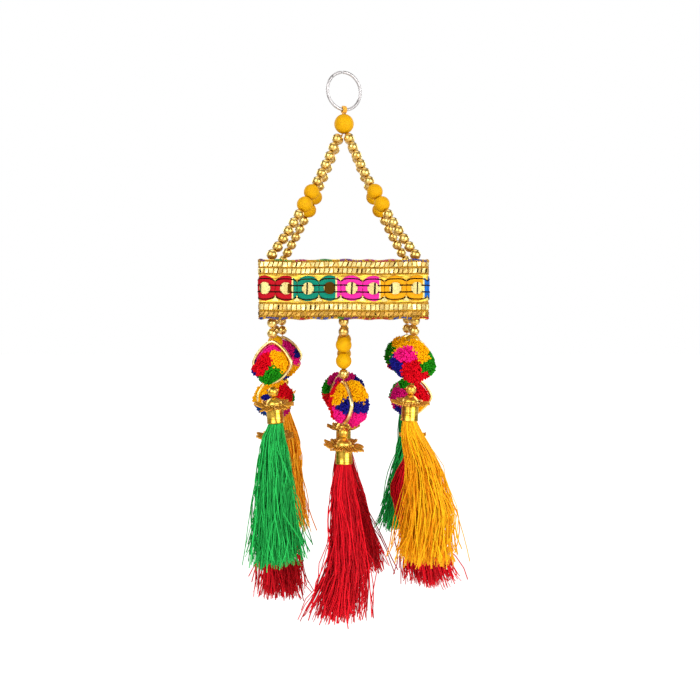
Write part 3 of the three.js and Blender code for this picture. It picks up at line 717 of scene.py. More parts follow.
def round_frame(points):
    """Takes points of the flat lace (along it, up it, out of its face) to their place round the frame."""
    along, up, out = np.moveaxis(np.asarray(points, float), -1, 0)
    lift = np.clip((along - LACE_ROUND + 3) / LAP_RAMP, 0, 1)
    out = out + LAP_LIFT * lift * lift * (3 - 2 * lift)
    # The cloth wavers a little, in and out and up and down.
    out = out + WAVER * np.sin(along / 7.3) * np.sin(up / 6 + along / 19)
    up = up + WAVER * np.sin(along / 5.1 + 1)
    way = (along - TO_FRONT) % LACE_ROUND
    quarter = np.floor(way / QUARTER)
    run = way - quarter * QUARTER
    bend = np.clip((run - STRAIGHT) / LACE_CORNER, 0, None)
    inner = LACE_SIDE / 2 - LACE_CORNER
    x = np.minimum(run, STRAIGHT) - inner + (LACE_CORNER + out) * np.sin(bend)
    y = -inner - (LACE_CORNER + out) * np.cos(bend)
    turn = quarter * math.pi / 2
    cos, sin = np.cos(turn), np.sin(turn)
    return stacked(x * cos - y * sin, x * sin + y * cos, LACE_TOP - LACE_HEIGHT + up)


def lace_cloth():
    along = np.linspace(0, LACE_LENGTH, 420)
    outline = [(LACE_HEIGHT, LACE_INSIDE)] + [(u, LACE_FACE) for u in np.linspace(LACE_HEIGHT, 0, 9)]
    up, out = np.array(outline + [(0, LACE_INSIDE)]).T
    points = stacked(along[:, None], up, out)
    ends = np.arange(len(up))
    faces = [grid_faces(len(along), len(up)), np.array([ends[::-1], (len(along) - 1) * len(up) + ends])]
    skin = Skin()
    skin.add(round_frame(points).reshape(-1, 3), faces)
    return trim("lace_cloth", skin, [GOTA_GROUND], smooth=False)


def satin_ring(skin, centre, left, right, finish):
    """A ring of stitches that fan from its hole. left and right cut it straight, measured from its centre."""
    turns = np.linspace(0, 2 * np.pi, 2 * STITCHES, endpoint=False) + 0.013
    across = np.cos(turns)
    far = np.full(len(turns), RING_OUTER)
    near = np.full(len(turns), RING_HOLE)
    for edge in (left, right):
        facing = across * edge > 0
        crossing = edge / np.where(facing, across, 1)
        if edge * (right + left) > 0 and left * right > 0 and abs(edge) == min(abs(left), abs(right)):
            near = np.where(facing, np.maximum(near, crossing), far)
        else:
            far = np.where(facing, np.minimum(far, crossing), far)
    near = np.minimum(near, far)
    kept = far - near > THINNEST_STITCH
    share = np.array([1.0, 0.94, 0.7, 0.4, 0.08, 0.0])[:, None]
    radius = near + share * (far - near)
    crown = np.sin(np.pi * np.clip((radius - RING_HOLE) / (RING_OUTER - RING_HOLE), 0, 1)) ** 0.5
    rib = (np.arange(len(turns)) % 2)[None, :] * np.ones_like(radius)
    rib[[0, -1]] = 0
    out = LACE_FACE + 0.1 + CROWN_HEIGHT * crown + 0.07 * rib
    out[[0, -1]] = LACE_FACE - 0.1
    points = stacked(centre + radius * np.cos(turns), RING_LINE + radius * np.sin(turns), out)
    faces = grid_faces(len(share), len(turns)).reshape(len(share) - 1, len(turns), 4)
    faces = faces[:, kept & np.roll(kept, -1)].reshape(-1, 4)
    # Painted highlight and shade: lightest on the ring's crown and on every second, raised stitch, darker to
    # its edges.
    tone = np.clip(0.2 + 0.5 * crown + 0.3 * rib, 0, 1)
    skin.add(round_frame(points).reshape(-1, 3), [faces], finish, tone.reshape(1, -1))


def lace_rings():
    skin = Skin()
    centres = FIRST_RING + RING_PITCH * np.arange(-11, 25)
    half = RING_PITCH / 2
    for centre in centres:
        left, right = max(-half, 0.2 - centre), min(half, LACE_LENGTH - 0.2 - centre)
        if right < -half or left > half:
            continue
        cut = (FIRST_CUT - centre) % (2 * RING_PITCH)
        tint = int((centre - FIRST_CUT + 2 * RING_PITCH) // (2 * RING_PITCH)) % len(RING_COLOURS)
        if cut < half and left < 0 < right:
            satin_ring(skin, centre, left, min(right, cut - CUT_GAP), tint)
            if right > cut + CUT_GAP:
                satin_ring(skin, centre, cut + CUT_GAP, right, (tint + 1) % len(RING_COLOURS))
        elif left < 0 < right:
            satin_ring(skin, centre, left, right, tint)
    return trim("lace_rings", skin, RING_COLOURS.values())


def flat_plates(skin, corners, low, high, inset, finish=0, shades=0.5, tilt=0.0, draw=None):
    """Thin four-cornered plates with sloped edges. corners are (plates, 4, 2), going round anticlockwise."""
    corners = np.asarray(corners, float)
    middle = corners.mean(1, keepdims=True)
    reach = np.linalg.norm(corners - middle, axis=-1, keepdims=True)
    top = middle + (corners - middle) * np.maximum(1 - inset / reach, 0.2)
    heights = np.full(corners.shape[:2] + (1,), high)
    if draw is not None:
        heights = heights + tilt * (draw.random(heights.shape) - 0.5)
    foot = np.concatenate([corners, np.full_like(heights, low)], -1)
    points = np.concatenate([foot, np.concatenate([top, heights], -1)], 1)
    faces = [(i, (i + 1) % 4, 4 + (i + 1) % 4, 4 + i) for i in range(4)] + [(4, 5, 6, 7)]
    skin.add(round_frame(points), [np.array(faces)], finish, shades)


def box_corners(centres, ups, half_widths, half_heights, lean=0.0):
    """Corners of upright plates that lean sideways by lean at their tops."""
    centres, ups, wide, tall, lean = np.broadcast_arrays(centres, ups, half_widths, half_heights, lean)
    sides = ((-1, -1), (1, -1), (1, 1), (-1, 1))
    return np.stack([stacked(centres + sx * wide + sy * lean / 2, ups + sy * tall) for sx, sy in sides], 1)


def lace_foil():
    """The foil: small squares between slanting threads in each braid, and the flashes in the holes."""
    draw = np.random.default_rng(5)
    foil, gaps = Skin(), Skin()
    for row in TILE_ROWS:
        edges = row_places(TILE_PITCH)
        edges[1:-1] += TILE_SCATTER * (draw.random(len(edges) - 2) - 0.5)
        lean = row["slant"] * (0.4 + draw.random(len(edges)))
        lean *= np.where(draw.random(len(edges)) < 0.25, -0.6, 1)
        tall = row["tall"] / 2
        low, high = row["up"] - tall, row["up"] + tall
        starts, ends, left, right = edges[:-1], edges[1:], lean[:-1] / 2, lean[1:] / 2
        corners = np.stack([
            stacked(starts - left + TILE_INSET, low), stacked(ends - right - TILE_INSET, low),
            stacked(ends + right - TILE_INSET, high), stacked(starts + left + TILE_INSET, high)], 1)
        tone = row["bright"] * (0.25 + 0.75 * draw.random((len(corners), 1)) ** 0.7)
        flat_plates(foil, corners, LACE_FACE - 0.05, TILE_TOP, TILE_BEVEL, 0, tone, TILE_TILT, draw)
        # Some gaps between squares get a near-black plate: painted shade where the gap lies in shadow.
        dark = draw.random(len(edges)) < row["dark"]
        slits = box_corners(edges[dark] + 0.25, row["up"], 0.2, tall * 0.75, lean[dark])
        flat_plates(gaps, slits, LACE_FACE, 0.04, 0.03, 1)
    strip = (RING_HOLE + 0.1) / 3
    for index, centre in enumerate(FIRST_RING + RING_PITCH * np.arange(-10, 21)):
        # Three panes of foil in the hole, the slit in front of them as a dark plate of painted shade, and the
        # triangle under the valley.
        offset, width = SLITS[(index - 10) % len(SLITS)]
        pane = box_corners(centre + strip * np.array([-2, 0, 2]), RING_LINE, strip, RING_HOLE + 0.1)
        tones = 0.6 + 0.4 * draw.random((3, 1))
        flat_plates(foil, pane, LACE_FACE, LACE_FACE + PANE_HEIGHT, 0.01, 0, tones, 0.04, draw)
        reach = math.sqrt(max(RING_HOLE**2 - offset**2, 0.5)) + 0.1
        slit = box_corners(np.array([centre + offset]), RING_LINE, width / 2, reach, 0.25 * draw.random())
        flat_plates(gaps, slit, LACE_FACE, LACE_FACE + SLIT_HEIGHT, 0.02, int(width < WIDE_SLIT))
        valley = centre + RING_PITCH / 2
        if valley < LACE_LENGTH - 2:
            low, high = TRIANGLE_FOOT, TRIANGLE_TIP
            triangle = [(valley - 1.5, low), (valley + 1.5, low), (valley + 0.1, high), (valley - 0.1, high)]
            bright = 0.8 + 0.2 * draw.random()
            flat_plates(foil, [triangle], LACE_FACE, LACE_FACE + TRIANGLE_HEIGHT, 0.1, 0, bright, 0.2, draw)
    cuts = FIRST_CUT + 2 * RING_PITCH * np.arange(-6, 10)
    cuts = cuts[(cuts > 0.5) & (cuts < LACE_LENGTH - 0.5)]
    strips = box_corners(cuts, RING_LINE, 0.34, 4.4)
    flat_plates(foil, strips, LACE_FACE, LACE_FACE + STRIP_HEIGHT, 0.1, 0, 1.0)
    return [
        trim("lace_foil", foil, [GOTA_FOIL], smooth=False),
        trim("lace_dark_slits", gaps, [GAUZE_PAINTED_SHADE, BROWN_THREAD_AND_SLIT_SHADE], smooth=False),
    ]


def lumps(skin, draw, dark, centres, ups, out, length, thick, lean):
    """Short fat stitches that lean across a row, as the lay of a twisted cord. dark is the darkest shade."""
    centres, ups, lean = [a[:, None] for a in np.broadcast_arrays(centres, ups, lean)]
    shades = dark + 0.6 * draw.random(centres.shape)
    share = np.array([-1, 0, 1])[None, :]
    reach = share * length / 2
    path = stacked(centres + reach * np.cos(lean), ups + reach * np.sin(lean), out - 0.12 * share**2)
    swell = thick * np.array([0.5, 1.0, 0.5])
    skin.add(*tubes(round_frame(path), swell, circle(4), OFF_THE_LACE), 0, shades)


def lace_cords():
    """Twisted cords between the rows, the slanting threads between the squares, and the braid at the foot."""
    draw = np.random.default_rng(8)
    skin = Skin()
    for up in CORDS:
        centres = np.arange(0.4, LACE_LENGTH - 0.3, CORD_PITCH)
        lumps(skin, draw, 0.4, centres, up, LACE_FACE + CORD_HEIGHT, *CORD_STITCH, CORD_LAY)
    for row in TILE_ROWS:
        edges = row_places(TILE_PITCH)
        lean = np.pi / 2 - 0.55 * row["slant"] * (0.4 + draw.random(len(edges)))
        lumps(skin, draw, 0.15, edges, row["up"], LACE_FACE + 0.2, row["tall"] + 0.5, 0.2, lean)
    centres = np.arange(0.5, LACE_LENGTH - 0.4, BRAID_PITCH)
    for up, slope in BRAIDS:
        lumps(skin, draw, 0.2, centres, up, LACE_FACE + CORD_HEIGHT, *BRAID_STITCH, slope)
    return trim("lace_gold_cords", skin, [GOLD_CORD])


def lace_threads():
    """The brown threads that run across the rings: two through their middles, and one over each edge."""
    draw = np.random.default_rng(11)
    half_hole = math.sqrt(RING_HOLE**2 - 1.45**2) - 0.1
    t = np.linspace(0, 1, 9)
    across = EDGE_THREAD_REACH * (2 * t - 1)
    share = across / EDGE_THREAD_REACH
    paths = []
    for centre in FIRST_RING + RING_PITCH * np.arange(-10, 20):
        for side, edge, height in ((-1, 4.6, -0.12), (1, 3.95, -0.04)):
            start, end = centre + half_hole, centre + RING_PITCH - half_hole
            wander = 0.12 * (draw.random() - 0.5)
            up = RING_LINE - 0.2 + side * THREADS_APART + wander * np.sin(np.pi * t)
            paths.append(stacked(start + t * (end - start), up, -0.02))
            up = RING_LINE + side * (edge - 0.9 * share**4)
            paths.append(stacked(centre + across, up, height - 0.14 * share**2))
    skin = Skin()
    skin.add(*tubes(round_frame(paths), BROWN_THREAD_RADIUS, circle(5), OFF_THE_LACE))
    return trim("lace_brown_threads", skin, [BROWN_THREAD_AND_SLIT_SHADE])


def lace_edges():
    """Overcast stitches over the top and bottom edges, in runs of colour with gold between them."""
    draw = np.random.default_rng(21)
    skin = Skin()
    gold = list(EDGE_COLOURS).index("edge_gold")
    outline = [(-0.8, LACE_FACE + 0.1), (-0.3, LACE_FACE + 0.3), (0.05, -0.75), (-0.9, -1.3)]
    for edge, way in ((LACE_HEIGHT, 1), (0, -1)):
        centres = np.arange(0.3, LACE_LENGTH - 0.2, OVERCAST_PITCH)
        tints, tint = [], gold
        while len(tints) < len(centres):
            tint = int(draw.choice([t for t in range(len(EDGE_COLOURS)) if t not in (gold, tint)]))
            for _ in range(int(draw.integers(2, 6))):
                tints += [tint] * int(draw.integers(2, 5)) + [gold] * int(draw.integers(0, 3))
            tints += [gold] * int(draw.integers(0, 7))
        wave = 0.22 * np.sin(centres / 1.5) * way
        path = np.stack([
            stacked(centres + 0.5 * (1 - i / 2), edge + way * up + (wave if i < 3 else 0), out)
            for i, (up, out) in enumerate(outline)], 1)
        tone = 0.4 + 0.6 * draw.random((len(centres), 1))
        stitches = tubes(round_frame(path), OVERCAST_THREAD, circle(4), (0.6, 0.7, 0.2))
        skin.add(*stitches, np.array(tints[: len(centres)]), tone)
    return trim("lace_overcast_edges", skin, EDGE_COLOURS.values())


def lace():
    cloth = lace_cloth()
    trims = [lace_rings(), *lace_foil(), lace_cords(), lace_threads(), lace_edges()]
    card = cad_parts["frame"]
    card.data.materials.clear()
    card.data.materials.append(CARD)


# Drops

def hung(words, row, skin, finishes, solid):
    """A piece of one drop. words and solid are the starts of its own name and of the name of its node."""
    piece(words + row["name"], skin, finishes, [solid + row["name"]])


def bowed_diamond(inset, steps):
    """The loop's outline, drawn in by an inset, with its corners eased."""
    across, top, foot = LOOP_HALF_WIDTH - inset, LOOP_RISE - inset, inset - LOOP_FALL
    corners = np.array([(0, top), (-across, 0), (0, foot), (across, 0)])
    t = np.arange(steps)[:, None] / steps
    sides = zip(corners, np.roll(corners, -1, 0))
    line = np.concatenate([curve(start, LOOP_BOW * (start + end), end, t) for start, end in sides])
    for _ in range(3):
        line = (np.roll(line, 1, 0) + 2 * line + np.roll(line, -1, 0)) / 4
    return line


def gold_loop(row, place):
    line = bowed_diamond(LOOP_THICKNESS / 2, 20)
    path = stacked(line[:, 0], 0, line[:, 1])
    ring = circle(16)
    section = np.sign(ring) * np.abs(ring) ** 0.7 * (LOOP_THICKNESS / 2, LOOP_DEPTH / 2)
    skin = Skin()
    skin.add(*tubes(path[None], 1.0, section, (0, 1, 0), closed=True), place=place)
    hung("gold_loop_", row, skin, [GOLD_MOULDING], "loop_")


def drawn_in(tips, spill):
    """Moves the ends of the yarn inside the loop where it grips them, and clear of the beads at its ends.
    spill is how far they bulge past the loop on each side of it: 0 leaves the whole loop bare."""
    bow = math.log(0.5) / math.log((1 + 2 * LOOP_BOW) / 4)
    inset = LOOP_THICKNESS + GAP
    x, y, z = tips.T
    tall = np.where(z > 0, LOOP_RISE - inset, LOOP_FALL - inset)
    over = ((np.abs(x) / (LOOP_HALF_WIDTH - inset)) ** bow + (np.abs(z) / tall) ** bow) ** (1 / bow)
    beside = np.clip((np.abs(y) - LOOP_DEPTH / 2 - GAP) / 3.0, 0, 1)
    allowed = 1 + spill * (0.12 * (beside > 0) + 0.5 * beside)
    shrink = np.minimum(allowed / np.maximum(over, 1e-6), 1)
    tips = tips * np.stack([shrink, np.ones_like(shrink), shrink], -1)
    limit = np.where(z > 0, LOOP_RISE - 0.4, LOOP_FALL - 0.4)
    near_bead = (np.hypot(tips[:, 0], y) < BEAD_CLEARANCE) & (np.abs(tips[:, 2]) > limit)
    return np.where(near_bead[:, None], tips * (limit / np.maximum(np.abs(tips[:, 2]), 1e-6))[:, None], tips)


def spilled(row, tips):
    """How far the yarn bulges past the loop at each point, from the row's four quarters of the loop."""
    upper_left, upper_right, lower_left, lower_right = row.get("spill", (1, 1, 1, 1))
    right = np.clip(0.5 + tips[:, 0] / 3, 0, 1)
    low = np.clip(0.5 - (tips[:, 2] + 1.6) / 2.4, 0, 1)
    upper = upper_left + (upper_right - upper_left) * right
    lower = lower_left + (lower_right - lower_left) * right
    return upper + (lower - upper) * low


def pompom(row, place, seed):
    """Ends of cut yarn that stand out from the middle, each in the colour of the nearest patch."""
    draw = np.random.default_rng(seed)
    height = 1 - 2 * (np.arange(TUFTS) + 0.5) / TUFTS
    turn = (np.arange(TUFTS) + 0.5) * math.pi * GOLDEN_SHARE
    wide = np.sqrt(1 - height**2)
    ways = stacked(wide * np.cos(turn), wide * np.sin(turn), height)
    ways = unit(ways + 0.03 * draw.standard_normal(ways.shape))
    half, shift, square = np.array(row["pompom"]), np.array(row["shift"]), row["square"]

    def surface(ways):
        total = (np.abs(ways / half) ** square).sum(-1)
        x, y, z = ways.T
        bumps = np.sin(5 * x + seed) * np.sin(6 * y + 2 * seed) * np.sin(5 * z)
        return (1 + 0.06 * bumps) / total ** (1 / square)

    names = list(row["patches"])
    facing = unit(np.array([way for name in names for way in row["patches"][name]], float))
    facing = moved(facing, turned("Z", -row["turn"]))
    tints = np.repeat(np.arange(len(names)), [len(row["patches"][name]) for name in names])
    # Plies of yarn: each ply's ends share a height and a lean, so they show as small clumps.
    plies = unit(draw.standard_normal((PLIES, 3)))
    ply = (ways @ plies.T).argmax(1)
    ply_height = draw.random(PLIES)
    ply_lean = draw.standard_normal((PLIES, 3))
    blurred = unit(0.5 * ways + 0.5 * plies[ply] + 0.04 * draw.standard_normal(ways.shape))
    nearest = (blurred @ facing.T).argmax(1)
    own_height = draw.random(TUFTS)
    reach = surface(ways) + ply_height[ply] + TUFT_UNEVEN * own_height - TUFT_SUNK
    tips = ways * reach[:, None] + shift
    tips = drawn_in(tips, spilled(row, tips))
    lean = unit(ways + 0.14 * ply_lean[ply] + 0.12 * draw.standard_normal(ways.shape))
    fat = TUFT_THICKNESS + 0.14 * draw.random((TUFTS, 1))
    paths = tips[:, None] - np.array([TUFT_ROOT, TUFT_SHOULDER])[None, :, None] * lean[:, None]
    points, _ = tubes(paths, fat, circle(4), unit(np.array([0.37, 0.61, 0.7])))
    points = np.concatenate([points, tips[:, None]], 1)
    cone = np.array([(4 + i, 4 + (i + 1) % 4, 8) for i in range(4)])
    # Painted shade: each end darkens from its tip to its root, and lower ends and plies are darker than
    # taller ones.
    light = 0.45 + 0.3 * ply_height[ply] + 0.25 * own_height
    tone = np.repeat(np.array([0.0, 0.7, 1.0]), [4, 4, 1])[None, :] * light[:, None]
    skin = Skin()
    skin.add(points, [grid_faces(2, 4), cone], tints[nearest], tone, place)
    # The imported middle, which closes the gaps between the ends. Its dark tone is painted shade.
    up = np.linspace(-np.pi / 2, np.pi / 2, 18)[:, None]
    around = even_turns(28)
    middle = stacked(np.cos(up) * np.cos(around), np.cos(up) * np.sin(around), np.sin(up)).reshape(-1, 3)
    core = middle * (surface(middle) - CORE_DEPTH)[:, None] + shift
    core = moved(0.94 * drawn_in(core, spilled(row, core)) + 0.06 * shift, place)
    quads = grid_faces(len(up), len(around))
    owner = (unit(middle[quads].mean(1)) @ facing.T).argmax(1)
    for tint in range(len(names)):
        chosen = quads[tints[owner] == tint]
        if len(chosen):
            used, renumbered = np.unique(chosen, return_inverse=True)
            skin.add(core[used], [renumbered.reshape(chosen.shape)], tint, 0.1)
    hung("yarn_pompom_", row, skin, [YARNS[name] for name in names], "pompom_")


def flower_cap(row, place):
    """The bead, the bell with its beaded foot, and six ribbed petals of two lobes."""
    foot = -BELL_TOP - BELL_HEIGHT
    skin = Skin()
    strung(skin, [(0, 0, GOLD_BEAD - BELL_TOP)], [(0, 0, 1)], [GOLD_BEAD])
    low = foot - 0.35
    rise = np.linspace(0, 1, 10)
    profile = [(0.4, low + 0.1), (3.6, low + 0.02), (3.78, low + 0.12), (3.75, low + 0.34), (3.5, low + 0.45)]
    for share in rise:
        radius = 1 + 2.5 * math.cos(share * math.pi / 2) ** 0.8
        profile.append((radius, low + 0.45 + (BELL_HEIGHT - 0.15) * share))
    profile += [(0.3, -BELL_TOP + 0.02)]
    turns = even_turns(32)
    skin.add(lathe(profile, turns), [grid_faces(len(profile), len(turns))])
    rim = even_turns(18)
    beads = stacked(RIM_RADIUS * np.cos(rim), RIM_RADIUS * np.sin(rim), low + 0.05)
    ball = lathe([(math.cos(a), math.sin(a)) for a in np.linspace(-1.45, 1.45, 5)], even_turns(6))
    skin.add(beads[:, None] + RIM_BEAD * ball, [grid_faces(5, 6)])
    skin.points = [moved(np.concatenate(skin.points), place)]
    hung("cap_bell_", row, skin, [SATIN_BRASS], "cap_")
    cord = Skin()
    cord.add(*tubes([[(0, 0, -GAP), (0, 0, -BELL_TOP)]], THREAD, circle(6), (1, 0, 0)), place=place)
    hung("cap_thread_", row, cord, [YELLOW_THREAD], "cap_")
    petals(row, place, foot)


def petals(row, place, foot):
    tip, lift = row["petals"]
    columns = PETALS * 30
    half_petal = np.pi / PETALS
    turns = even_turns(columns)
    petal = np.round(turns / (2 * np.pi / PETALS)).astype(int) % PETALS
    off = (turns + half_petal) % (2 * np.pi / PETALS) - half_petal
    share = np.abs(off) / half_petal
    lobes = (1 - share**3) * (1 - LOBE_NOTCH * np.exp(-((share / 0.2) ** 2)))
    reach = PETAL_VALLEY - 0.6 + (tip - PETAL_VALLEY + 0.7) * lobes
    steps = np.linspace(1, 0, 12)[:, None]
    radius = PETAL_ROOT + steps * (reach - PETAL_ROOT)
    past = np.clip((radius - PETAL_FLAT) / (tip - PETAL_FLAT), 0, 1.1)
    more = np.array(row.get("lifts", (0,) * PETALS))[petal]
    rib = np.cos(2 * np.pi * (radius * np.sin(off)) / RIB_PITCH)
    cupped = 0.3 * np.sin(np.pi * np.clip(past, 0, 1)) - 0.7 * past * share**2
    nod = row.get("nod", 0.6) * np.tanh(radius * np.sin(turns) / 2.4) * np.clip(past * 2.5, 0, 1)
    ribbed = RIB_HEIGHT * rib * np.clip(past * 4, 0, 1)
    top = foot - 0.45 + (lift + more) * past**1.5 + ribbed + cupped + nod
    # Painted highlight: the outer rim goes to full tone. Each petal also darkens a little towards its sides.
    rim = np.clip((steps - 0.86) / 0.14, 0, 1)
    tone = np.clip(0.5 + 0.5 * rib - 0.2 * share, 0, 1) * (1 - rim) + rim
    upper = stacked(radius * np.cos(turns), radius * np.sin(turns), top)
    points = np.concatenate([upper, upper[::-1] - (0, 0, PETAL_SHEET)]).reshape(-1, 3)
    # The underside has painted shade, at 0.7 of the top's tone.
    tones = np.concatenate([tone, tone[::-1] * 0.7]).reshape(1, -1)
    skin = Skin()
    skin.add(points, [grid_faces(2 * len(steps), columns, closed_rows=True)], 0, tones, place)
    hung("flower_petals_", row, skin, [TONED_PETAL_WITH_PAINTED_LIGHT], "cap_")


def ferrule(row, place):
    """A thin brass cup, mouth down, rolled at its foot. The joint of its sheet is a line down its side."""
    out, foot = FERRULE_RADIUS, -FERRULE_HEIGHT
    profile = [
        (out - 0.45, foot + 0.15), (out - 0.3, foot), (out - 0.1, foot), (out + 0.02, foot + 0.15),
        (out + 0.02, foot + 0.4), (out - 0.08, foot + 0.6), (out - 0.12, -3.5), (out - 0.14, -0.9),
        (out - 0.2, -0.4), (out - 0.42, -0.12), (out - 0.8, 0), (1.2, 0), (0.05, 0), (0.05, -0.5),
        (out - 0.8, -0.5), (out - 0.45, -0.9),
    ]
    seam = math.radians(row["seam"])
    turns = np.sort(np.concatenate([even_turns(48), seam + np.array([-0.05, -0.03, 0.03, 0.05])]))
    points = lathe(profile, turns).reshape(len(profile), len(turns), 3)
    groove = np.abs(turns - seam) < 0.04
    side = slice(3, 10)
    points[side, groove, :2] *= SEAM_DEPTH
    skin = Skin()
    faces = [grid_faces(len(profile), len(turns), closed_rows=True)]
    skin.add(points.reshape(-1, 3), faces, place=place)
    hung("brass_ferrule_", row, skin, [BRASS_CUP], "ferrule_")


def tassel_outline(row, below):
    """How far aside and how far out the tassel reaches, from the ferrule's mouth to the ends."""
    levels = [(0, 0, LOCK_ROOT_RADIUS), (0.03, 0, 3.3)]
    if "outline" in row:
        levels += row["outline"]
    else:
        belly_x, belly = row["belly"]
        end_x, end = row["end"]
        levels += [(0.12, 0.35 * belly_x, 0.72 * belly), (BELLY, belly_x, belly)]
        levels += [(0.5, 0.6 * belly_x + 0.4 * end_x, 0.62 * belly + 0.38 * end)]
        levels += [(0.75, 0.28 * belly_x + 0.72 * end_x, 0.3 * belly + 0.7 * end), (1, end_x, end)]
    levels = np.array(levels, float)
    return np.interp(below, levels[:, 0], levels[:, 1]), np.interp(below, levels[:, 0], levels[:, 2])


def tassel(row, place, seed):
    """Silk threads that hang from the ferrule in locks. They wave, cross and flare, and some stray far."""
    draw = np.random.default_rng(100 + seed)
    count, full = TASSEL_THREADS, row["length"]
    lock = draw.integers(0, LOCKS, count)
    lock_share = ((lock + 0.5) / LOCKS) ** 0.5
    lock_turn = lock * (math.pi * GOLDEN_SHARE) + seed
    spread = draw.random(count) ** 0.55
    turn = 2 * np.pi * draw.random(count)
    own = spread[:, None] * stacked(np.cos(turn), np.sin(turn))
    held = lock_share[:, None] * stacked(np.cos(lock_turn), np.sin(lock_turn))
    loose = np.clip(draw.random(count) * 1.2, 0, 1)[:, None]
    low = (0.75 * held + 0.25 * own) * (1 - loose) + 0.95 * own * loose
    stray = np.arange(count) < TASSEL_STRAYS

    uneven = 1 - LOCKS_UNEVEN * scattered(seed, lock) * (0.3 + lock_share)
    length = full * np.minimum(uneven + 0.05, 1) * (1 - THREADS_UNEVEN * draw.random(count) ** 2.2)
    t = np.linspace(0, 1, TASSEL_STEPS)
    depth = t[None, :] * (FERRULE_HEIGHT - TASSEL_TOP + length[:, None])
    below = np.clip((depth - FERRULE_HEIGHT + TASSEL_TOP) / full, 0, 1)
    aside, radius = tassel_outline(row, below)
    # It hangs plumb, however its drop and cap are tipped.
    aside = aside - math.tan(math.radians(row["swing"] + row["tilt"])) * below * full
    mixed = np.clip((below - 0.02) / 0.3, 0, 1)[..., None]
    section = own[:, None] * (1 - mixed) + low[:, None] * mixed
    # Each thread wanders round the tassel on its way down, so the threads cross.
    drift = DRIFT * draw.standard_normal((count, 1)) * below
    x, y, cos, sin = section[..., 0], section[..., 1], np.cos(drift), np.sin(drift)
    section = stacked(x * cos - y * sin, x * sin + y * cos)
    cycles = full / (WAVE_SHORTEST + WAVE_SPREAD * draw.random((count, 1, 2)))
    wave = 2 * np.pi * (below[..., None] * cycles + draw.random((count, 1, 2)))
    swing = (0.25 + 1.0 * draw.random((count, 1, 2)) ** 1.5) * np.where(stray, 1.7, 1)[:, None, None]
    sway = np.sin(wave) * swing * np.clip(below[..., None] * 3, 0, 1)
    # The ends flare outwards, the strays' most of all and from higher up.
    onset = np.where(stray, 0.1 + 0.5 * draw.random(count), 0.4 + 0.4 * draw.random(count))[:, None]
    bend = (np.clip(below - onset, 0, 1) / (1 - onset)) ** np.where(stray, 1.3, 1.7)[:, None]
    edge = np.where(spread > 0.75, 1.9, 1.0)
    far = STRAY_LEAST + STRAY_MORE * draw.random(count) ** 1.3
    flare = np.where(stray, far, np.minimum(edge * draw.exponential(FLARE_MEAN, count), FLARE_MOST))
    heading = np.arctan2(low[:, 1], low[:, 0]) + 0.7 * draw.standard_normal(count)
    outwards = stacked(np.cos(heading), FLARE_DEPTH * np.sin(heading))
    flat = section * radius[..., None] + sway + (flare[:, None] * bend)[..., None] * outwards[:, None]
    path = stacked(flat[..., 0] + aside, flat[..., 1] + row["back"] * below, -TASSEL_TOP - depth)
    thick = TASSEL_THREAD * (0.8 + 0.35 * draw.random((count, 1)))
    thick = thick * np.where(stray, STRAY_THICKER, 1)[:, None]
    # Painted shade: threads deep inside the tassel are darker, down to half their tone.
    painted_inner_shade = 0.5 + 0.5 * np.clip(np.linalg.norm(section, axis=-1), 0, 1)
    tone = np.repeat((0.1 + 0.9 * draw.random((count, 1))) * painted_inner_shade, 3, axis=1)
    # The threads of the middle are open at the back, where nothing shows.
    outer = stray | (spread > 0.8)
    inner = ~outer
    skin = Skin()
    skin.add(*tubes(path[outer], thick[outer], circle(3), (0.2, 1, 0)), 0, tone[outer], place)
    gutter = np.array([(-1, -0.3), (0, 0.6), (1, -0.3)])
    inwards = stacked(-low[inner, 0], -low[inner, 1], 0)[:, None]
    points, _ = tubes(path[inner], thick[inner], gutter, inwards)
    faces = [grid_faces(TASSEL_STEPS, len(gutter), closed_columns=False)]
    skin.add(points, faces, 0, tone[inner], place)
    hung("silk_tassel_", row, skin, [SILKS[row["yarn"]]], "tassel_")


def scattered(seed, index):
    """Numbers between 0 and 1 that are the same as the part's own."""
    wave = np.sin(seed * 12.9898 + np.asarray(index) * 78.233) * 43758.5453
    return wave - np.floor(wave)


def drop(row, seed):
    sx, sy = row["at"]
    corner = sx and sy
    reach = CORNER_REACH if corner else SIDE_REACH
    gold, yellow = GOLD_BEAD, YELLOW_BEAD
    radii = np.array([gold, gold] if corner else [gold, gold, yellow, yellow, gold])
    whole = shifted(sx * reach, sy * reach, FRAME_BOTTOM - row["slack"]) @ turned("Y", -row["swing"])
    heights = -GAP - np.cumsum(2 * radii) + radii
    foot = heights[-1] - radii[-1]
    centres = stacked(0, 0, heights)
    thread = moved(np.concatenate([[[0, 0, row["slack"] - GAP]], centres, [[0, 0, foot - 0.5]]]), whole)
    alongs = np.broadcast_to(np.array(whole)[:3, 2] * -1, centres.shape)
    string_of_beads(row["name"], "beads_", moved(centres, whole), alongs, radii, radii == yellow, thread)
    held_z = foot - GAP - LOOP_RISE
    held = whole @ shifted(0, 0, held_z) @ turned("Z", row["turn"])
    gold_loop(row, held)
    pompom(row, held, seed)
    lower = whole @ shifted(0, 0, held_z - LOOP_FALL) @ turned("Y", -row["tilt"])
    flower_cap(row, lower)
    cup = lower @ shifted(0, 0, -BELL_TOP - BELL_HEIGHT - PETAL_THICKNESS - GAP)
    ferrule(row, cup)
    tassel(row, cup, seed)


# Camera, light and floor

# Where the photograph was taken from: its scale gives the distance, and the frame's faces the height.
CAMERA_PLACE = (2.71, -474.6, -102.8)
CAMERA_PITCH = math.radians(2.64)
CAMERA_LENS = 53.5  # for a 36 mm sensor

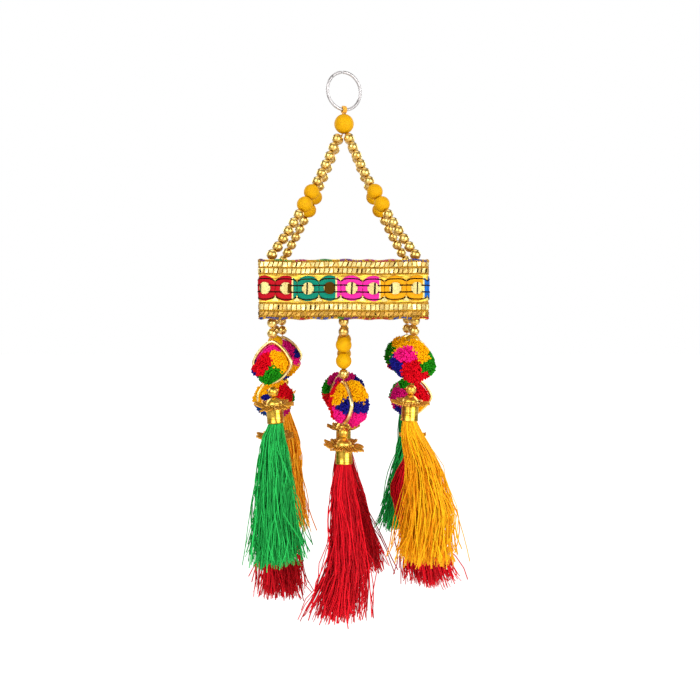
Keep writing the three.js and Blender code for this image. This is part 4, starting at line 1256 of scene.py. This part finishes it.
# Each light's name, its place in metres, its size in metres and its power in watts.
SOFTBOXES = [
    ("key", (-0.55, -0.95, 0.3), 0.8, 9),
    ("fill", (0.75, -0.85, 0.0), 0.7, 10),
    ("top", (0.0, 0.1, 0.9), 0.8, 3.5),
    ("back_left", (-0.8, 0.8, 0.3), 0.6, 5),
    ("back_right", (0.8, 0.8, 0.3), 0.6, 5),
]
MIDDLE = (0, 0, -0.12)
FLOOR_HALF = 12.0
FLOOR_Z = -0.75


def camera():
    data = bpy.data.cameras.new("camera")
    data.lens = CAMERA_LENS
    data.sensor_width = 36
    data.clip_start, data.clip_end = 0.01, 100
    made = bpy.data.objects.new("camera", data)
    made.location = [v * MM for v in CAMERA_PLACE]
    made.rotation_euler = (math.pi / 2 - CAMERA_PITCH, 0, 0)
    bpy.context.collection.objects.link(made)
    bpy.context.scene.camera = made


def softbox(name, place, size, power):
    """A square light that faces the middle of the hanging."""
    data = bpy.data.lights.new(name, "AREA")
    data.size = size
    data.energy = power
    made = bpy.data.objects.new(name, data)
    aim = Vector(MIDDLE) - Vector(place)
    made.location = place
    made.rotation_euler = aim.to_track_quat("-Z", "Y").to_euler()
    made.visible_camera = False
    bpy.context.collection.objects.link(made)


def studio():
    world = bpy.data.worlds.new("studio")
    bpy.context.scene.world = world
    world.use_nodes = True
    tree = world.node_tree
    tree.nodes.clear()
    seen = node(tree, "Background", {"Color": (1, 1, 1, 1), "Strength": 1.0})
    fill = node(tree, "Background", {"Color": colour("#f4f1ec"), "Strength": 0.22})
    ray = node(tree, "LightPath").outputs["Is Camera Ray"]
    both = node(tree, "MixShader", {0: ray, 1: fill.outputs[0], 2: seen.outputs[0]})
    node(tree, "OutputWorld", {"Surface": both.outputs[0]})
    bpy.context.scene.view_settings.view_transform = "Standard"
    for name, place, size, power in SOFTBOXES:
        softbox(name, place, size, power)


def floor():
    mesh = bpy.data.meshes.new("floor")
    corners = [(x * FLOOR_HALF, y * FLOOR_HALF, FLOOR_Z) for x, y in ((-1, -1), (1, -1), (1, 1), (-1, 1))]
    mesh.from_pydata(corners, [], [(0, 1, 2, 3)])
    paper = material(
        "white_backdrop_paper", "#f2f2f0", "#f8f8f6", grain(300.0),
        {"Roughness": 0.9, "Emission Color": (1, 1, 1, 1)})
    # The paper glows, and more with distance, so that it meets the background with no line.
    tree = paper.node_tree
    far = node(tree, "VectorMath", {0: node(tree, "TexCoord").outputs["Object"]}, operation="LENGTH")
    limits = {"From Min": 0.8, "From Max": 2.5, "To Min": 0.6}
    glow = node(tree, "MapRange", {"Value": far.outputs["Value"], **limits})
    ray = node(tree, "LightPath").outputs["Is Camera Ray"]
    lit = node(tree, "MapRange", {"Value": ray, "To Min": 0.42, "To Max": glow.outputs["Result"]})
    tree.links.new(lit.outputs["Result"], tree.nodes["Principled BSDF"].inputs["Emission Strength"])
    mesh.materials.append(paper)
    made = bpy.data.objects.new("floor", mesh)
    bpy.context.collection.objects.link(made)


camera()
studio()
floor()
wire_ring()
tie()
crown()
for row in STRANDS:
    strand(row)
lace()
for index, row in enumerate(DROPS):
    drop(row, index + 1)
